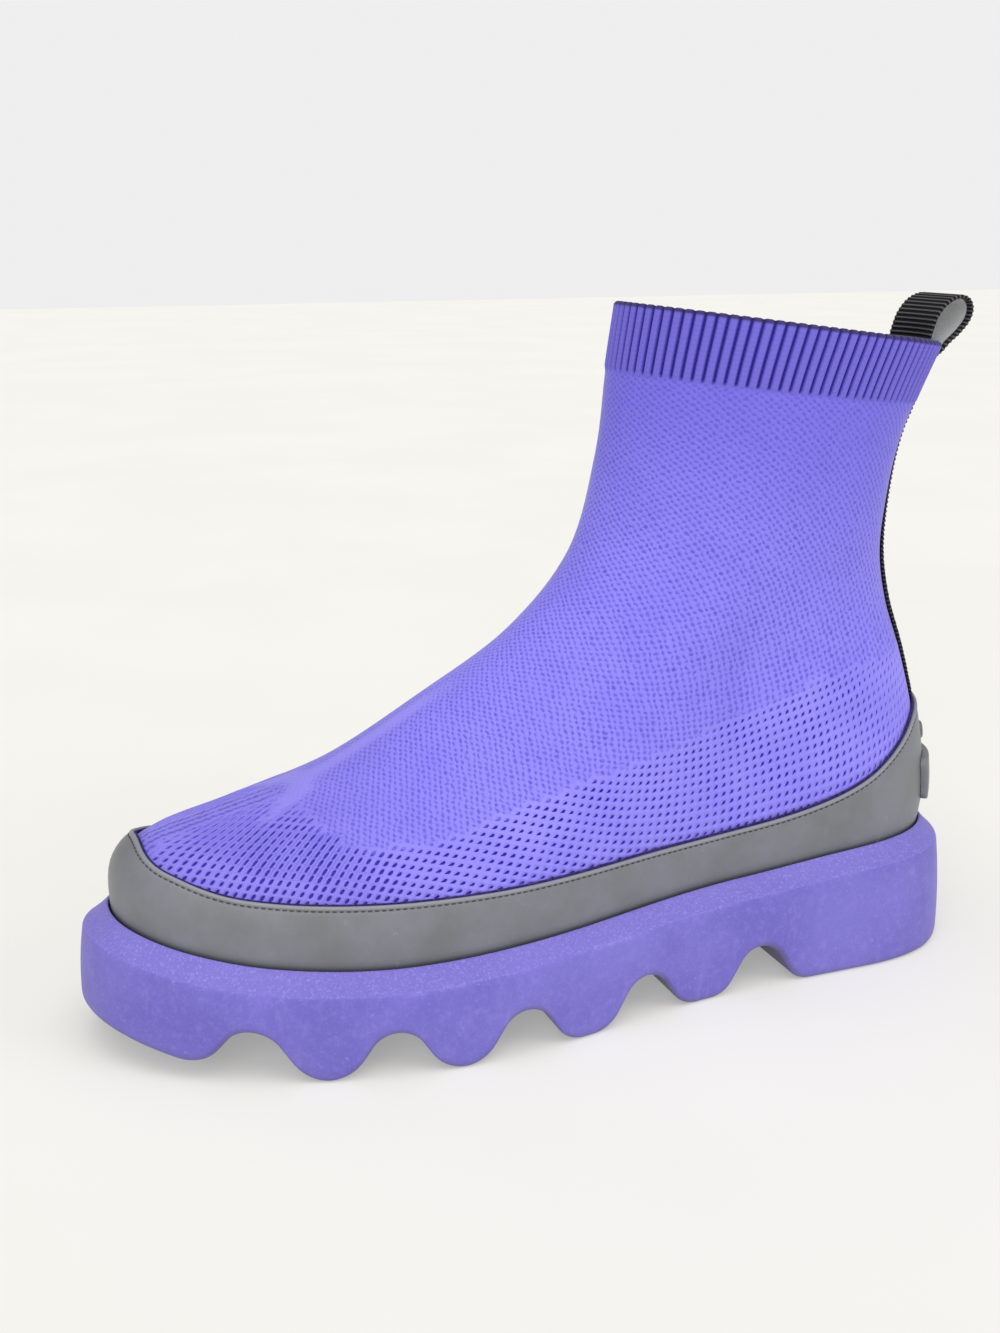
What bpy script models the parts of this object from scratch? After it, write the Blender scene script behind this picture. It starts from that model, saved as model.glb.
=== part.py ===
"""Knit ankle boot for the left foot: a knitted sock upper on a one-piece wavy foam sole.

Metres, +X toward the toe, +Y toward the outer side of the foot, +Z up. Every piece is modelled
from the back of the sole (x = 0 at the heel, z = 0 on the floor). An empty then carries them all
so that the origin lies on the floor under the middle of the whole boot.
"""

from collections import namedtuple
import math

import bmesh
import bpy
from mathutils import Vector

# Main sizes
SOLE_LENGTH = 0.286
SOLE_MARGIN = 0.0110      # tread outline beyond the foot of the knit
GAP = 0.0003              # clearance between pieces that are sewn or glued together
WALL = 0.0021             # knit and lining together
CUFF_STEP = 0.0006        # how far the ribbed cuff stands out from the shaft
RAND_THICKNESS = 0.0018
RAND_LIP = 0.0004         # the turned top edge of the rand
INSOLE_THICKNESS = 0.0042

# Sole: heights of its side and folds of its tread
LEDGE_RISE = 0.0055       # ledge from the crease up to the foot of the rand
CUP_DEPTH = 0.0050        # how deep the upper sits inside the ledge
CUP_CLEARANCE = 0.0005    # between the inside of the ledge and the rand
SIDE_FLARE = 0.0016       # side wall, crease to tread
TREAD_ROUND = 0.0018
TOE_SPRING = 0.0125
SPRING_START = 0.79       # share of the length where the toe begins to lift
HEEL_LIFT = 0.0040        # rounding under the very back
HEEL_LIFT_END = 0.065
ARCH_FLAT = 0.12          # flat crown of an arch, as a share of its half width

CreaseHeight = namedtuple("CreaseHeight", "share height")
CREASE = (
    CreaseHeight(0.00, 0.0348),
    CreaseHeight(0.14, 0.0337),
    CreaseHeight(0.30, 0.0302),
    CreaseHeight(0.45, 0.0279),
    CreaseHeight(0.60, 0.0261),
    CreaseHeight(0.74, 0.0245),
    CreaseHeight(0.86, 0.0267),
    CreaseHeight(0.94, 0.0306),
    CreaseHeight(1.00, 0.0350),
)

Arch = namedtuple("Arch", "share depth half_width")
ARCHES = (
    Arch(0.2900, 0.0140, 0.0160),
    Arch(0.4390, 0.0137, 0.0160),
    Arch(0.5870, 0.0137, 0.0160),
    Arch(0.7235, 0.0132, 0.0155),
    Arch(0.8600, 0.0135, 0.0162),
)

# Upper: closed rings from the foot of the knit to the collar. A ring runs from its front point to
# its back point; the half widths are at the ball (outer, inner side) and at the heel; the zones are
# the shares of its length that round off at either end; swing moves the toe toward the inner side;
# dip is how much of the sag of the sole the ring follows.
Ring = namedtuple(
    "Ring",
    "name front_x front_z back_x back_z lateral medial heel heel_zone toe_zone heel_power toe_power swing dip",
)
FOOT = Ring(
    "foot", 0.2740, 0.0358, 0.0095, 0.0356, 0.0430, 0.0405, 0.0300, 0.16, 0.36, 2.5, 2.25, 0.006, 1.00
)
RINGS = (
    FOOT,
    Ring("belly", 0.2732, 0.0525, 0.0072, 0.0500, 0.0440, 0.0412, 0.0312, 0.17, 0.37, 2.4, 2.22, 0.006, 0.95),
    Ring("toe cap", 0.2640, 0.0605, 0.0078, 0.0640, 0.0424, 0.0397, 0.0315, 0.19, 0.40, 2.3, 2.15, 0.006, 0.70),
    Ring("toe box", 0.2450, 0.0655, 0.0102, 0.0800, 0.0390, 0.0367, 0.0308, 0.23, 0.47, 2.2, 2.1, 0.006, 0.35),
    Ring("vamp", 0.2150, 0.0742, 0.0155, 0.0990, 0.0356, 0.0341, 0.0300, 0.28, 0.54, 2.1, 2.05, 0.005, 0.10),
    Ring("instep", 0.1845, 0.0910, 0.0210, 0.1150, 0.0336, 0.0325, 0.0295, 0.34, 0.57, 2.0, 2.0, 0.003, 0.0),
    Ring("throat", 0.1540, 0.1098, 0.0248, 0.1310, 0.0332, 0.0325, 0.0305, 0.40, 0.55, 2.0, 2.0, 0.001, 0.0),
    Ring("ankle", 0.1320, 0.1340, 0.0250, 0.1470, 0.0340, 0.0335, 0.0330, 0.46, 0.52, 2.0, 2.0, 0.0, 0.0),
    Ring("shaft", 0.1225, 0.1640, 0.0226, 0.1645, 0.0360, 0.0355, 0.0355, 0.50, 0.50, 2.0, 2.0, 0.0, 0.0),
    Ring("cuff", 0.1190, 0.1905, 0.0178, 0.1785, 0.0382, 0.0378, 0.0378, 0.50, 0.50, 2.0, 2.0, 0.0, 0.0),
    Ring("collar", 0.1160, 0.2102, 0.0095, 0.1960, 0.0395, 0.0392, 0.0392, 0.50, 0.50, 2.0, 2.0, 0.0, 0.0),
)
CUFF = 9.0
COLLAR = 10.0
WAIST_SHARE = 0.30
BALL_SHARE = 0.66
SWING_START = 0.50

AROUND = 60               # points around a ring
RAND_ROWS = 4
BODY_ROWS = 13

# Top edge of the rand, by the angle around the foot from the toe (0) to the middle back (180);
# one row beyond either end keeps the edge smooth there
RandEdge = namedtuple("RandEdge", "angle height")
RAND_EDGE = (
    RandEdge(-20.0, 0.0555),
    RandEdge(0.0, 0.0593),
    RandEdge(20.0, 0.0555),
    RandEdge(38.0, 0.0504),
    RandEdge(58.0, 0.0481),
    RandEdge(78.0, 0.0490),
    RandEdge(95.0, 0.0502),
    RandEdge(110.0, 0.0514),
    RandEdge(124.0, 0.0549),
    RandEdge(136.0, 0.0610),
    RandEdge(148.0, 0.0700),
    RandEdge(158.0, 0.0765),
    RandEdge(168.0, 0.0795),
    RandEdge(180.0, 0.0806),
    RandEdge(192.0, 0.0795),
)

# Heel tab: half width at each height
TabRow = namedtuple("TabRow", "height half_width thickness")
TAB = (
    TabRow(0.0470, 0.0190, 0.0009),
    TabRow(0.0480, 0.0200, 0.0016),
    TabRow(0.0545, 0.0210, 0.0018),
    TabRow(0.0608, 0.0205, 0.0016),
    TabRow(0.0620, 0.0190, 0.0010),
    TabRow(0.0630, 0.0120, 0.0009),
    TabRow(0.0642, 0.0100, 0.0014),
    TabRow(0.0685, 0.0092, 0.0015),
    TabRow(0.0700, 0.0078, 0.0009),
)
TAB_COLUMNS = 9

# Pull loop and the tape down the back
TAPE_WIDTH = 0.021
TAPE_THICKNESS = 0.0012
TAPE_COLUMNS = 7
TAPE_ROWS = 16
LOOP_TUCK = (9.20, 9.50, 9.80)   # where the ends of the loop are sewn to the cuff
LoopBend = namedtuple("LoopBend", "back up")
LOOP = (                         # the free part of the loop, measured from the back of the collar
    LoopBend(-0.0031, 0.0012),
    LoopBend(-0.0028, 0.0048),
    LoopBend(-0.0016, 0.0090),
    LoopBend(0.0014, 0.0128),
    LoopBend(0.0056, 0.0146),
    LoopBend(0.0092, 0.0138),
    LoopBend(0.0108, 0.0108),
    LoopBend(0.0100, 0.0072),
    LoopBend(0.0072, 0.0036),
    LoopBend(0.0040, 0.0006),
    LoopBend(0.0019, -0.0022),
)
LOOP_STEPS = 2                   # steps between two bends


def smoothstep(low, high, value):
    share = min(max((value - low) / (high - low), 0.0), 1.0)
    return share * share * (3.0 - 2.0 * share)


def through(rows, place):
    """Value at a place on a smooth curve through (place, value) rows."""
    last = len(rows) - 1
    index = 0
    while index < last - 1 and place > rows[index + 1][0]:
        index += 1
    place_1, value_1 = rows[index]
    place_2, value_2 = rows[index + 1]
    place_0, value_0 = rows[max(index - 1, 0)]
    place_3, value_3 = rows[min(index + 2, last)]
    step = place_2 - place_1
    slope_1 = (value_2 - value_0) * (step / (place_2 - place_0))
    slope_2 = (value_3 - value_1) * (step / (place_3 - place_1))
    t = (place - place_1) / step
    blend = t * t * (3.0 - 2.0 * t)
    return (
        value_1 * (1.0 - blend)
        + value_2 * blend
        + slope_1 * (t * (1.0 - t) ** 2)
        - slope_2 * (t * t * (1.0 - t))
    )


def crease_height(share):
    return through(CREASE, share)


def sole_dip(share):
    """How far the sole sags below the straight line from its heel to its toe."""
    straight = CREASE[0].height + share * (CREASE[-1].height - CREASE[0].height)
    return straight - crease_height(share)


def rounding(share, ring):
    """Factor on the half width that rounds off both ends of a ring."""
    factor = 1.0
    into_heel = 1.0 - share / ring.heel_zone
    if into_heel > 0.0:
        factor *= max(1.0 - into_heel ** ring.heel_power, 0.0) ** (1.0 / ring.heel_power)
    into_toe = (share - 1.0 + ring.toe_zone) / ring.toe_zone
    if into_toe > 0.0:
        factor *= max(1.0 - into_toe ** ring.toe_power, 0.0) ** (1.0 / ring.toe_power)
    return factor


def ring_point(ring, angle):
    """Point of a ring; the angle runs from the toe (0) over the outer side to the back (pi) and on."""
    share = (1.0 + math.cos(angle)) / 2.0
    side = 1.0 if math.sin(angle) >= 0.0 else -1.0
    ball = ring.lateral if side > 0.0 else ring.medial
    width = ring.heel + (ball - ring.heel) * smoothstep(WAIST_SHARE, BALL_SHARE, share)
    x = ring.back_x + share * (ring.front_x - ring.back_x)
    y = side * width * rounding(share, ring) - ring.swing * smoothstep(SWING_START, 1.0, share)
    z = ring.back_z + share * (ring.front_z - ring.back_z) - ring.dip * sole_dip(share)
    return Vector((x, y, z))


def grown(ring, by):
    """The same ring, wider all round."""
    return ring._replace(
        front_x=ring.front_x + by,
        back_x=ring.back_x - by,
        lateral=ring.lateral + by,
        medial=ring.medial + by,
        heel=ring.heel + by,
    )


TREAD = grown(FOOT, SOLE_MARGIN)._replace(front_x=SOLE_LENGTH, back_x=0.0, toe_power=2.1)


def upper_point(angle, rise):
    """Point on the outside of the knit; rise counts the rings from the foot up."""
    first = min(max(int(rise) - 1, 0), len(RINGS) - 4)
    rows = [(float(i), ring_point(RINGS[i], angle)) for i in range(first, first + 4)]
    return through(rows, rise)


def upper_normal(angle, rise):
    turn = 0.01
    lift = 0.02
    across = upper_point(angle + turn, rise) - upper_point(angle - turn, rise)
    up = upper_point(angle, min(rise + lift, COLLAR)) - upper_point(angle, max(rise - lift, 0.0))
    normal = across.cross(up).normalized()
    normal.z *= smoothstep(0.0, 0.5, rise)
    return normal.normalized()


def offset_point(angle, rise, distance):
    return upper_point(angle, rise) + distance * upper_normal(angle, rise)


def solve(function, low, high, target):
    """Where a rising function of one value reaches the target."""
    for _ in range(40):
        middle = (low + high) / 2.0
        if function(middle) < target:
            low = middle
        else:
            high = middle
    return (low + high) / 2.0


def rand_rise(angle):
    """Rise of the rand's top edge at an angle around the foot."""
    degrees = abs(math.degrees(math.remainder(angle, math.tau)))
    height = through(RAND_EDGE, degrees)
    return solve(lambda rise: upper_point(angle, rise).z, 0.0, 6.0, height)


def angle_at(rise, y):
    """Angle near the middle back where a ring of the upper has this y."""
    return solve(lambda angle: -upper_point(angle, rise).y, math.radians(95.0), math.radians(265.0), -y)


def height_at_back(height):
    return solve(lambda rise: upper_point(math.pi, rise).z, 0.0, COLLAR, height)


def material(name, colour, roughness):
    made = bpy.data.materials.new(name)
    made.use_nodes = True
    shader = made.node_tree.nodes["Principled BSDF"]
    shader.inputs["Base Color"].default_value = (*colour, 1.0)
    shader.inputs["Roughness"].default_value = roughness
    made.diffuse_color = (*colour, 1.0)
    return made


def add_part(name, mesh_data, collection, carrier, colour, roughness):
    """Make an object of a closed bmesh, with its own material, under the carrier."""
    bmesh.ops.recalc_face_normals(mesh_data, faces=mesh_data.faces)
    mesh = bpy.data.meshes.new(name)
    mesh_data.to_mesh(mesh)
    mesh_data.free()
    mesh.materials.append(material(name, colour, roughness))
    mesh.shade_smooth()
    mesh.set_sharp_from_angle(angle=math.radians(38.0))
    part = bpy.data.objects.new(name, mesh)
    part.parent = carrier
    collection.objects.link(part)
    return part


def loft(rows, wrap_rows, wrap_columns):
    """Faces between neighbouring rows of points; either way may close on itself."""
    made = bmesh.new()
    verts = [[made.verts.new(point) for point in row] for row in rows]
    row_count = len(rows)
    column_count = len(rows[0])
    for i in range(row_count if wrap_rows else row_count - 1):
        for j in range(column_count if wrap_columns else column_count - 1):
            here = verts[i]
            above = verts[(i + 1) % row_count]
            right = (j + 1) % column_count
            made.faces.new((here[j], here[right], above[right], above[j]))
    return made, verts


def cap_across(made, row):
    """Close a ring of mirrored stations with strips from its outer to its inner side."""
    count = len(row)
    for i in range(count // 2):
        corners = [row[i], row[i + 1], row[-i - 1], row[-i]] if i else [row[0], row[1], row[-1]]
        if i == count // 2 - 1:
            corners = [row[i], row[i + 1], row[-i]]
        made.faces.new(corners)


def close_patch(made, verts):
    """Join the first and last rows of a folded patch along its two open sides."""
    half = len(verts) // 2
    for column in (0, -1):
        for i in range(half - 1):
            mate = len(verts) - 1 - i
            rows = (i, i + 1, mate - 1, mate)
            made.faces.new([verts[row][column] for row in rows])


def patch(outside, inside):
    """Closed sheet between an outer and an inner grid of points."""
    made, verts = loft(outside + inside[::-1], True, False)
    close_patch(made, verts)
    return made


def ring_angles():
    return [math.tau * i / AROUND for i in range(AROUND)]


def tread_height(share):
    """Height of the tread: toe spring, rounded heel and the arches cut across it."""
    height = 0.0
    if share > SPRING_START:
        height += TOE_SPRING * ((share - SPRING_START) / (1.0 - SPRING_START)) ** 1.7
    if share < HEEL_LIFT_END:
        height += HEEL_LIFT * (1.0 - share / HEEL_LIFT_END) ** 2
    for arch in ARCHES:
        away = abs(share - arch.share) * SOLE_LENGTH / arch.half_width
        height += arch.depth * (1.0 - smoothstep(ARCH_FLAT, 1.0, away))
    return height


def sole_shares():
    """Stations along the sole: close at the two round ends and in every arch."""
    shares = {0.0, 1.0}
    end_steps = 9
    for i in range(1, end_steps + 1):
        bend = 1.0 - math.cos(math.radians(38.0) * i / end_steps)
        shares.add(round(bend, 5))
        shares.add(round(1.0 - 0.42 * bend, 5))
    for arch in ARCHES:
        for step in (-1.0, -0.84, -0.68, -0.54, -0.4, -0.26, -ARCH_FLAT, 0.0):
            for place in (step, -step):
                shares.add(round(arch.share + place * arch.half_width / SOLE_LENGTH, 5))
    kept = []
    for share in sorted(shares):
        if not kept or share - kept[-1] > 0.0010 or share == 1.0:
            kept.append(share)
    return kept


def sole_angles():
    """Angles of the stations, toe to heel on the outer side and back on the inner side."""
    angles = [math.acos(2.0 * share - 1.0) for share in sole_shares()[::-1]]
    return angles + [math.tau - angle for angle in angles[-2:0:-1]]


def sole_ring(ring, height):
    points = []
    for angle in sole_angles():
        point = ring_point(ring, angle)
        point.z = height((1.0 + math.cos(angle)) / 2.0)
        points.append(point)
    return points


def cup_ring(height):
    """Ring of the sole that runs close around the rand."""
    points = []
    for angle in sole_angles():
        z = height((1.0 + math.cos(angle)) / 2.0)
        rise = solve(lambda rise: upper_point(angle, rise).z, 0.0, 4.0, z)
        point = offset_point(angle, rise, GAP + RAND_THICKNESS + CUP_CLEARANCE)
        point.z = z
        points.append(point)
    return points


def wall_height(up):
    """Height on the side wall, as a share of the way from the tread to the crease."""
    return lambda share: (
        (tread_height(share) + TREAD_ROUND) * (1.0 - up) + crease_height(share) * up
    )


def build_sole():
    tread = TREAD
    rows = [
        sole_ring(grown(tread, -TREAD_ROUND), tread_height),
        sole_ring(grown(tread, -0.3 * TREAD_ROUND), lambda share: tread_height(share) + 0.3 * TREAD_ROUND),
        sole_ring(tread, wall_height(0.0)),
        sole_ring(grown(tread, -0.2 * SIDE_FLARE), wall_height(0.5)),
        sole_ring(grown(tread, -SIDE_FLARE), wall_height(1.0)),
        cup_ring(lambda share: crease_height(share) + LEDGE_RISE),
        cup_ring(lambda share: crease_height(share) + LEDGE_RISE - CUP_DEPTH),
    ]
    made, verts = loft(rows, False, True)
    cap_across(made, verts[0])
    cap_across(made, verts[-1])
    return made


def build_insole():
    plan = grown(FOOT, -WALL - 2.0 * GAP)
    floor = LEDGE_RISE - CUP_DEPTH + GAP
    rows = [
        sole_ring(plan, lambda share: crease_height(share) + floor),
        sole_ring(plan, lambda share: crease_height(share) + floor + 0.8 * INSOLE_THICKNESS),
        sole_ring(grown(plan, -0.001), lambda share: crease_height(share) + floor + INSOLE_THICKNESS),
    ]
    made, verts = loft(rows, False, True)
    cap_across(made, verts[0])
    cap_across(made, verts[-1])
    return made


def upper_rows():
    """Rise (as a function of the angle) and outward step of every row of the knit."""
    rows = []
    for i in range(RAND_ROWS + 1):
        rows.append((lambda angle, s=i / RAND_ROWS: rand_rise(angle) * s, 0.0))
    for i in range(1, BODY_ROWS):
        rows.append((lambda angle, s=i / BODY_ROWS: rand_rise(angle) * (1.0 - s) + CUFF * s, 0.0))
    rows.append((lambda angle: CUFF - 0.03, 0.0))
    rows.append((lambda angle: CUFF + 0.03, CUFF_STEP))
    rows.append((lambda angle: CUFF + 0.50, CUFF_STEP))
    rows.append((lambda angle: COLLAR - 0.04, CUFF_STEP))
    return rows


def build_upper():
    angles = ring_angles()
    outside = []
    inside = []
    for rise_at, step in upper_rows():
        rises = [rise_at(angle) for angle in angles]
        outside.append([offset_point(a, r, step) for a, r in zip(angles, rises)])
        inside.append([offset_point(a, r, -WALL) for a, r in zip(angles, rises)])
    crest = [offset_point(angle, COLLAR, (CUFF_STEP - WALL) / 2.0) for angle in angles]
    made, _ = loft(outside + [crest] + inside[::-1], True, True)
    return made


def build_rand():
    angles = ring_angles()
    edges = [rand_rise(angle) for angle in angles]
    shares = [i / RAND_ROWS for i in range(RAND_ROWS)] + [0.90, 1.0]
    outside = []
    inside = []
    for share in shares:
        face = GAP + RAND_THICKNESS + (RAND_LIP if share >= 0.9 else 0.0)
        outside.append([offset_point(a, e * share, face) for a, e in zip(angles, edges)])
        inside.append([offset_point(a, e * share, GAP) for a, e in zip(angles, edges)])
    made, _ = loft(outside + inside[::-1], True, True)
    return made


def build_heel_tab():
    base = GAP + RAND_THICKNESS + 1.5 * GAP
    outside = []
    inside = []
    for row in TAB:
        rise = height_at_back(row.height)
        places = [row.half_width * (1.0 - 2.0 * j / (TAB_COLUMNS - 1)) for j in range(TAB_COLUMNS)]
        angles = [angle_at(rise, y) for y in places]
        edge = [min(1.0, 0.55 + (1.0 - abs(y) / row.half_width) * 6.0) for y in places]
        outside.append([offset_point(a, rise, base + row.thickness * e) for a, e in zip(angles, edge)])
        inside.append([offset_point(a, rise, base) for a in angles])
    return patch(outside, inside)


def tape_places():
    return [TAPE_WIDTH * (0.5 - j / (TAPE_COLUMNS - 1)) for j in range(TAPE_COLUMNS)]


def tape_foot(y):
    """Rise where the tape meets the top edge of the rand at this y."""
    rise = rand_rise(math.pi)
    for _ in range(12):
        rise = rand_rise(angle_at(rise, y))
    return rise + 0.04


def build_back_tape():
    feet = [tape_foot(y) for y in tape_places()]
    top = LOOP_TUCK[0] - 0.08
    outside = []
    inside = []
    for i in range(TAPE_ROWS + 1):
        share = i / TAPE_ROWS
        rises = [foot * (1.0 - share) + top * share for foot in feet]
        angles = [angle_at(rise, y) for rise, y in zip(rises, tape_places())]
        step = CUFF_STEP * smoothstep(0.88, 0.95, share)
        outside.append([offset_point(a, r, step + GAP + TAPE_THICKNESS) for a, r in zip(angles, rises)])
        inside.append([offset_point(a, r, step + GAP) for a, r in zip(angles, rises)])
    return patch(outside, inside)


def build_pull_loop():
    """A tape from the inside of the cuff over the back of the collar to its outside."""
    collar_back = upper_point(math.pi, COLLAR)
    bow_radius = RINGS[-1].heel ** 2 / ((RINGS[-1].front_x - RINGS[-1].back_x) / 2.0)
    outside = []
    inside = []
    for rise in LOOP_TUCK:
        angles = [angle_at(rise, y) for y in tape_places()]
        outside.append([offset_point(a, rise, -WALL - GAP - TAPE_THICKNESS) for a in angles])
        inside.append([offset_point(a, rise, -WALL - GAP) for a in angles])
    bends = []
    for i, bend in enumerate(LOOP):
        bends.append((float(i), Vector((collar_back.x - bend.back, 0.0, collar_back.z + bend.up))))
    last = len(LOOP) - 1
    for i in range(last * LOOP_STEPS + 1):
        place = i / LOOP_STEPS
        middle = through(bends, place)
        ahead = through(bends, min(place + 0.05, last)) - through(bends, max(place - 0.05, 0.0))
        normal = Vector((-ahead.z, 0.0, ahead.x)).normalized()
        bow = (abs(place - last / 2.0) / (last / 2.0)) ** 2
        row_out = []
        row_in = []
        for y in tape_places():
            point = middle + Vector((bow * y * y / (2.0 * bow_radius), y, 0.0))
            row_out.append(point - normal * (TAPE_THICKNESS / 2.0))
            row_in.append(point + normal * (TAPE_THICKNESS / 2.0))
        outside.append(row_out)
        inside.append(row_in)
    for rise in LOOP_TUCK[::-1]:
        angles = [angle_at(rise, y) for y in tape_places()]
        outside.append([offset_point(a, rise, CUFF_STEP + GAP + TAPE_THICKNESS) for a in angles])
        inside.append([offset_point(a, rise, CUFF_STEP + GAP) for a in angles])
    return patch(outside, inside)


def box_middle(parts):
    """Middle of the bounding box of the parts, on the floor."""
    corners = [vert.co for part in parts for vert in part.data.vertices]
    low = [min(corner[axis] for corner in corners) for axis in range(3)]
    high = [max(corner[axis] for corner in corners) for axis in range(3)]
    return Vector(((low[0] + high[0]) / 2.0, (low[1] + high[1]) / 2.0, low[2]))


def main():
    for thing in list(bpy.data.objects):
        bpy.data.objects.remove(thing)
    collection = bpy.data.collections.new("knit_ankle_boot")
    bpy.context.scene.collection.children.link(collection)
    carrier = bpy.data.objects.new("knit_ankle_boot_frame", None)
    collection.objects.link(carrier)

    violet = (0.21, 0.16, 0.74)
    pale_violet = (0.19, 0.15, 0.62)
    grey = (0.12, 0.12, 0.13)
    black = (0.008, 0.007, 0.009)
    dark = (0.03, 0.026, 0.06)
    parts = [
        add_part("sole", build_sole(), collection, carrier, pale_violet, 0.75),
        add_part("insole", build_insole(), collection, carrier, dark, 0.9),
        add_part("upper", build_upper(), collection, carrier, violet, 0.85),
        add_part("rand", build_rand(), collection, carrier, grey, 0.5),
        add_part("heel_tab", build_heel_tab(), collection, carrier, grey, 0.45),
        add_part("back_tape", build_back_tape(), collection, carrier, black, 0.7),
        add_part("pull_loop", build_pull_loop(), collection, carrier, black, 0.7),
    ]
    carrier.location = -box_middle(parts)


main()
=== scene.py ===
"""Knit ankle boot for the left foot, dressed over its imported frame.

Metres, +X toward the toe, +Y toward the outer side of the foot, +Z up. The shapes are worked out
from the back of the sole, as a shoemaker measures, and HEEL then carries them into the frame.
"""

import math

import bpy
from mathutils.kdtree import KDTree
import numpy as np
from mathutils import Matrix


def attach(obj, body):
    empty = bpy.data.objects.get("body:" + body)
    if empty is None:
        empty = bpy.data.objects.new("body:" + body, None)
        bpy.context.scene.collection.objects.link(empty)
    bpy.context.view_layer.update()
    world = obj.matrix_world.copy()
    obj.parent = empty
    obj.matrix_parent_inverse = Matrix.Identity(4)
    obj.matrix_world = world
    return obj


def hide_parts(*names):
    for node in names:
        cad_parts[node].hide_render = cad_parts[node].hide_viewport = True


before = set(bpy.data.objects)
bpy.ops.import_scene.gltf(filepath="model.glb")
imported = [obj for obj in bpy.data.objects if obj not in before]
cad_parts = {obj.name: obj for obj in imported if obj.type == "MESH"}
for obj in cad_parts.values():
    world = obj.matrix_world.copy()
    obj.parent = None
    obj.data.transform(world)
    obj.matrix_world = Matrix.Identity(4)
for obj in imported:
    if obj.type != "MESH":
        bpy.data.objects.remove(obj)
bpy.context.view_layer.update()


# Sole
# One block of moulded foam: five wave troughs across the tread, a straight side wall, a crease, and
# above it a sloping ledge that cups the upper. Matt skin with fine mottling and grime along the bottom
# edge; the underside is painted dark, grime and painted shade in the troughs together. Painted light
# makes the ledge paler, and the crease is worn paler with a painted highlight.
HEEL = np.array([-0.14205216, 0.00015273, 0.0])
SOLE_LENGTH = 0.286
SOLE_MARGIN = 0.0110
SOLE_COLUMNS = 640
TOE_SPRING = 0.0125
TOE_SPRING_FROM = 0.79
HEEL_LIFT = 0.0040
HEEL_LIFT_TO = 0.065
TREAD_ROUND = 0.0018
SIDE_FLARE = 0.0016
EDGE_ROUND = 0.0010
LEDGE_RISE = 0.0055
LEDGE_SAG = 0.0003
CUP_DEPTH = 0.0050
CUP_GAP = 0.0026
CREASE_SHARE = (0.0, 0.14, 0.30, 0.45, 0.60, 0.74, 0.86, 0.94, 1.0)
CREASE_HEIGHT = (0.0348, 0.0337, 0.0302, 0.0279, 0.0261, 0.0245, 0.0267, 0.0306, 0.0350)
# Wave troughs: place as a share of the length, depth, reach to the lug's foot, radii of top and foot
ARCHES = (
    (0.2900, 0.0140, 0.0182, 0.0090, 0.0082),
    (0.4390, 0.0137, 0.0190, 0.0088, 0.0098),
    (0.5870, 0.0137, 0.0197, 0.0086, 0.0112),
    (0.7235, 0.0132, 0.0197, 0.0086, 0.0118),
    (0.8600, 0.0135, 0.0200, 0.0086, 0.0118),
)
# Rings of the last from the foot of the knit up to the collar: front x and z, back x and z, half
# width at the ball outside and inside and at the heel, shares that round off at heel and toe, the
# powers of those roundings, swing of the toe, share of the sole's sag
LAST = np.array([
    (0.2740, 0.0358, 0.0095, 0.0356, 0.0430, 0.0405, 0.0300, 0.16, 0.36, 2.5, 2.25, 0.006, 1.00),
    (0.2732, 0.0525, 0.0072, 0.0500, 0.0440, 0.0412, 0.0312, 0.17, 0.37, 2.4, 2.22, 0.006, 0.95),
    (0.2640, 0.0605, 0.0078, 0.0640, 0.0424, 0.0397, 0.0315, 0.19, 0.40, 2.3, 2.15, 0.006, 0.70),
    (0.2450, 0.0655, 0.0102, 0.0800, 0.0390, 0.0367, 0.0308, 0.23, 0.47, 2.2, 2.10, 0.006, 0.35),
    (0.2150, 0.0742, 0.0155, 0.0990, 0.0356, 0.0341, 0.0300, 0.28, 0.54, 2.1, 2.05, 0.005, 0.10),
    (0.1845, 0.0910, 0.0210, 0.1150, 0.0336, 0.0325, 0.0295, 0.34, 0.57, 2.0, 2.00, 0.003, 0.0),
    (0.1540, 0.1098, 0.0248, 0.1310, 0.0332, 0.0325, 0.0305, 0.40, 0.55, 2.0, 2.00, 0.001, 0.0),
    (0.1320, 0.1340, 0.0250, 0.1470, 0.0340, 0.0335, 0.0330, 0.46, 0.52, 2.0, 2.00, 0.0, 0.0),
    (0.1225, 0.1640, 0.0226, 0.1645, 0.0360, 0.0355, 0.0355, 0.50, 0.50, 2.0, 2.00, 0.0, 0.0),
    (0.1190, 0.1905, 0.0178, 0.1785, 0.0382, 0.0378, 0.0378, 0.50, 0.50, 2.0, 2.00, 0.0, 0.0),
    (0.1160, 0.2102, 0.0095, 0.1960, 0.0395, 0.0392, 0.0392, 0.50, 0.50, 2.0, 2.00, 0.0, 0.0),
])
TOP_RING = len(LAST) - 1
# Shares of the length over which the waist widens to the ball, and over which the toe swings inward
WAIST_TO_BALL = (0.30, 0.66)
TOE_SWING = (0.50, 1.0)
# Steps to either side, round and up, between which the slope of the last is taken
SLOPE_TURN = 0.01
SLOPE_RISE = 0.02
# Rise over which the directions out of the knit turn from level to square
LEVEL_FOOT = (0.0, 0.5)
# Points nearer to each other than this are merged into one
MERGE_WITHIN = 2e-6


def smoothstep(low, high, value):
    share = np.clip((value - low) / (high - low), 0.0, 1.0)
    return share * share * (3.0 - 2.0 * share)


def eased(first, second, leave, arrive, t):
    """The smooth way from one value to the next, with its slopes at both ends."""
    blend = t * t * (3.0 - 2.0 * t)
    bend = leave * t * (1.0 - t) ** 2 - arrive * t * t * (1.0 - t)
    return first * (1.0 - blend) + second * blend + bend


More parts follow.
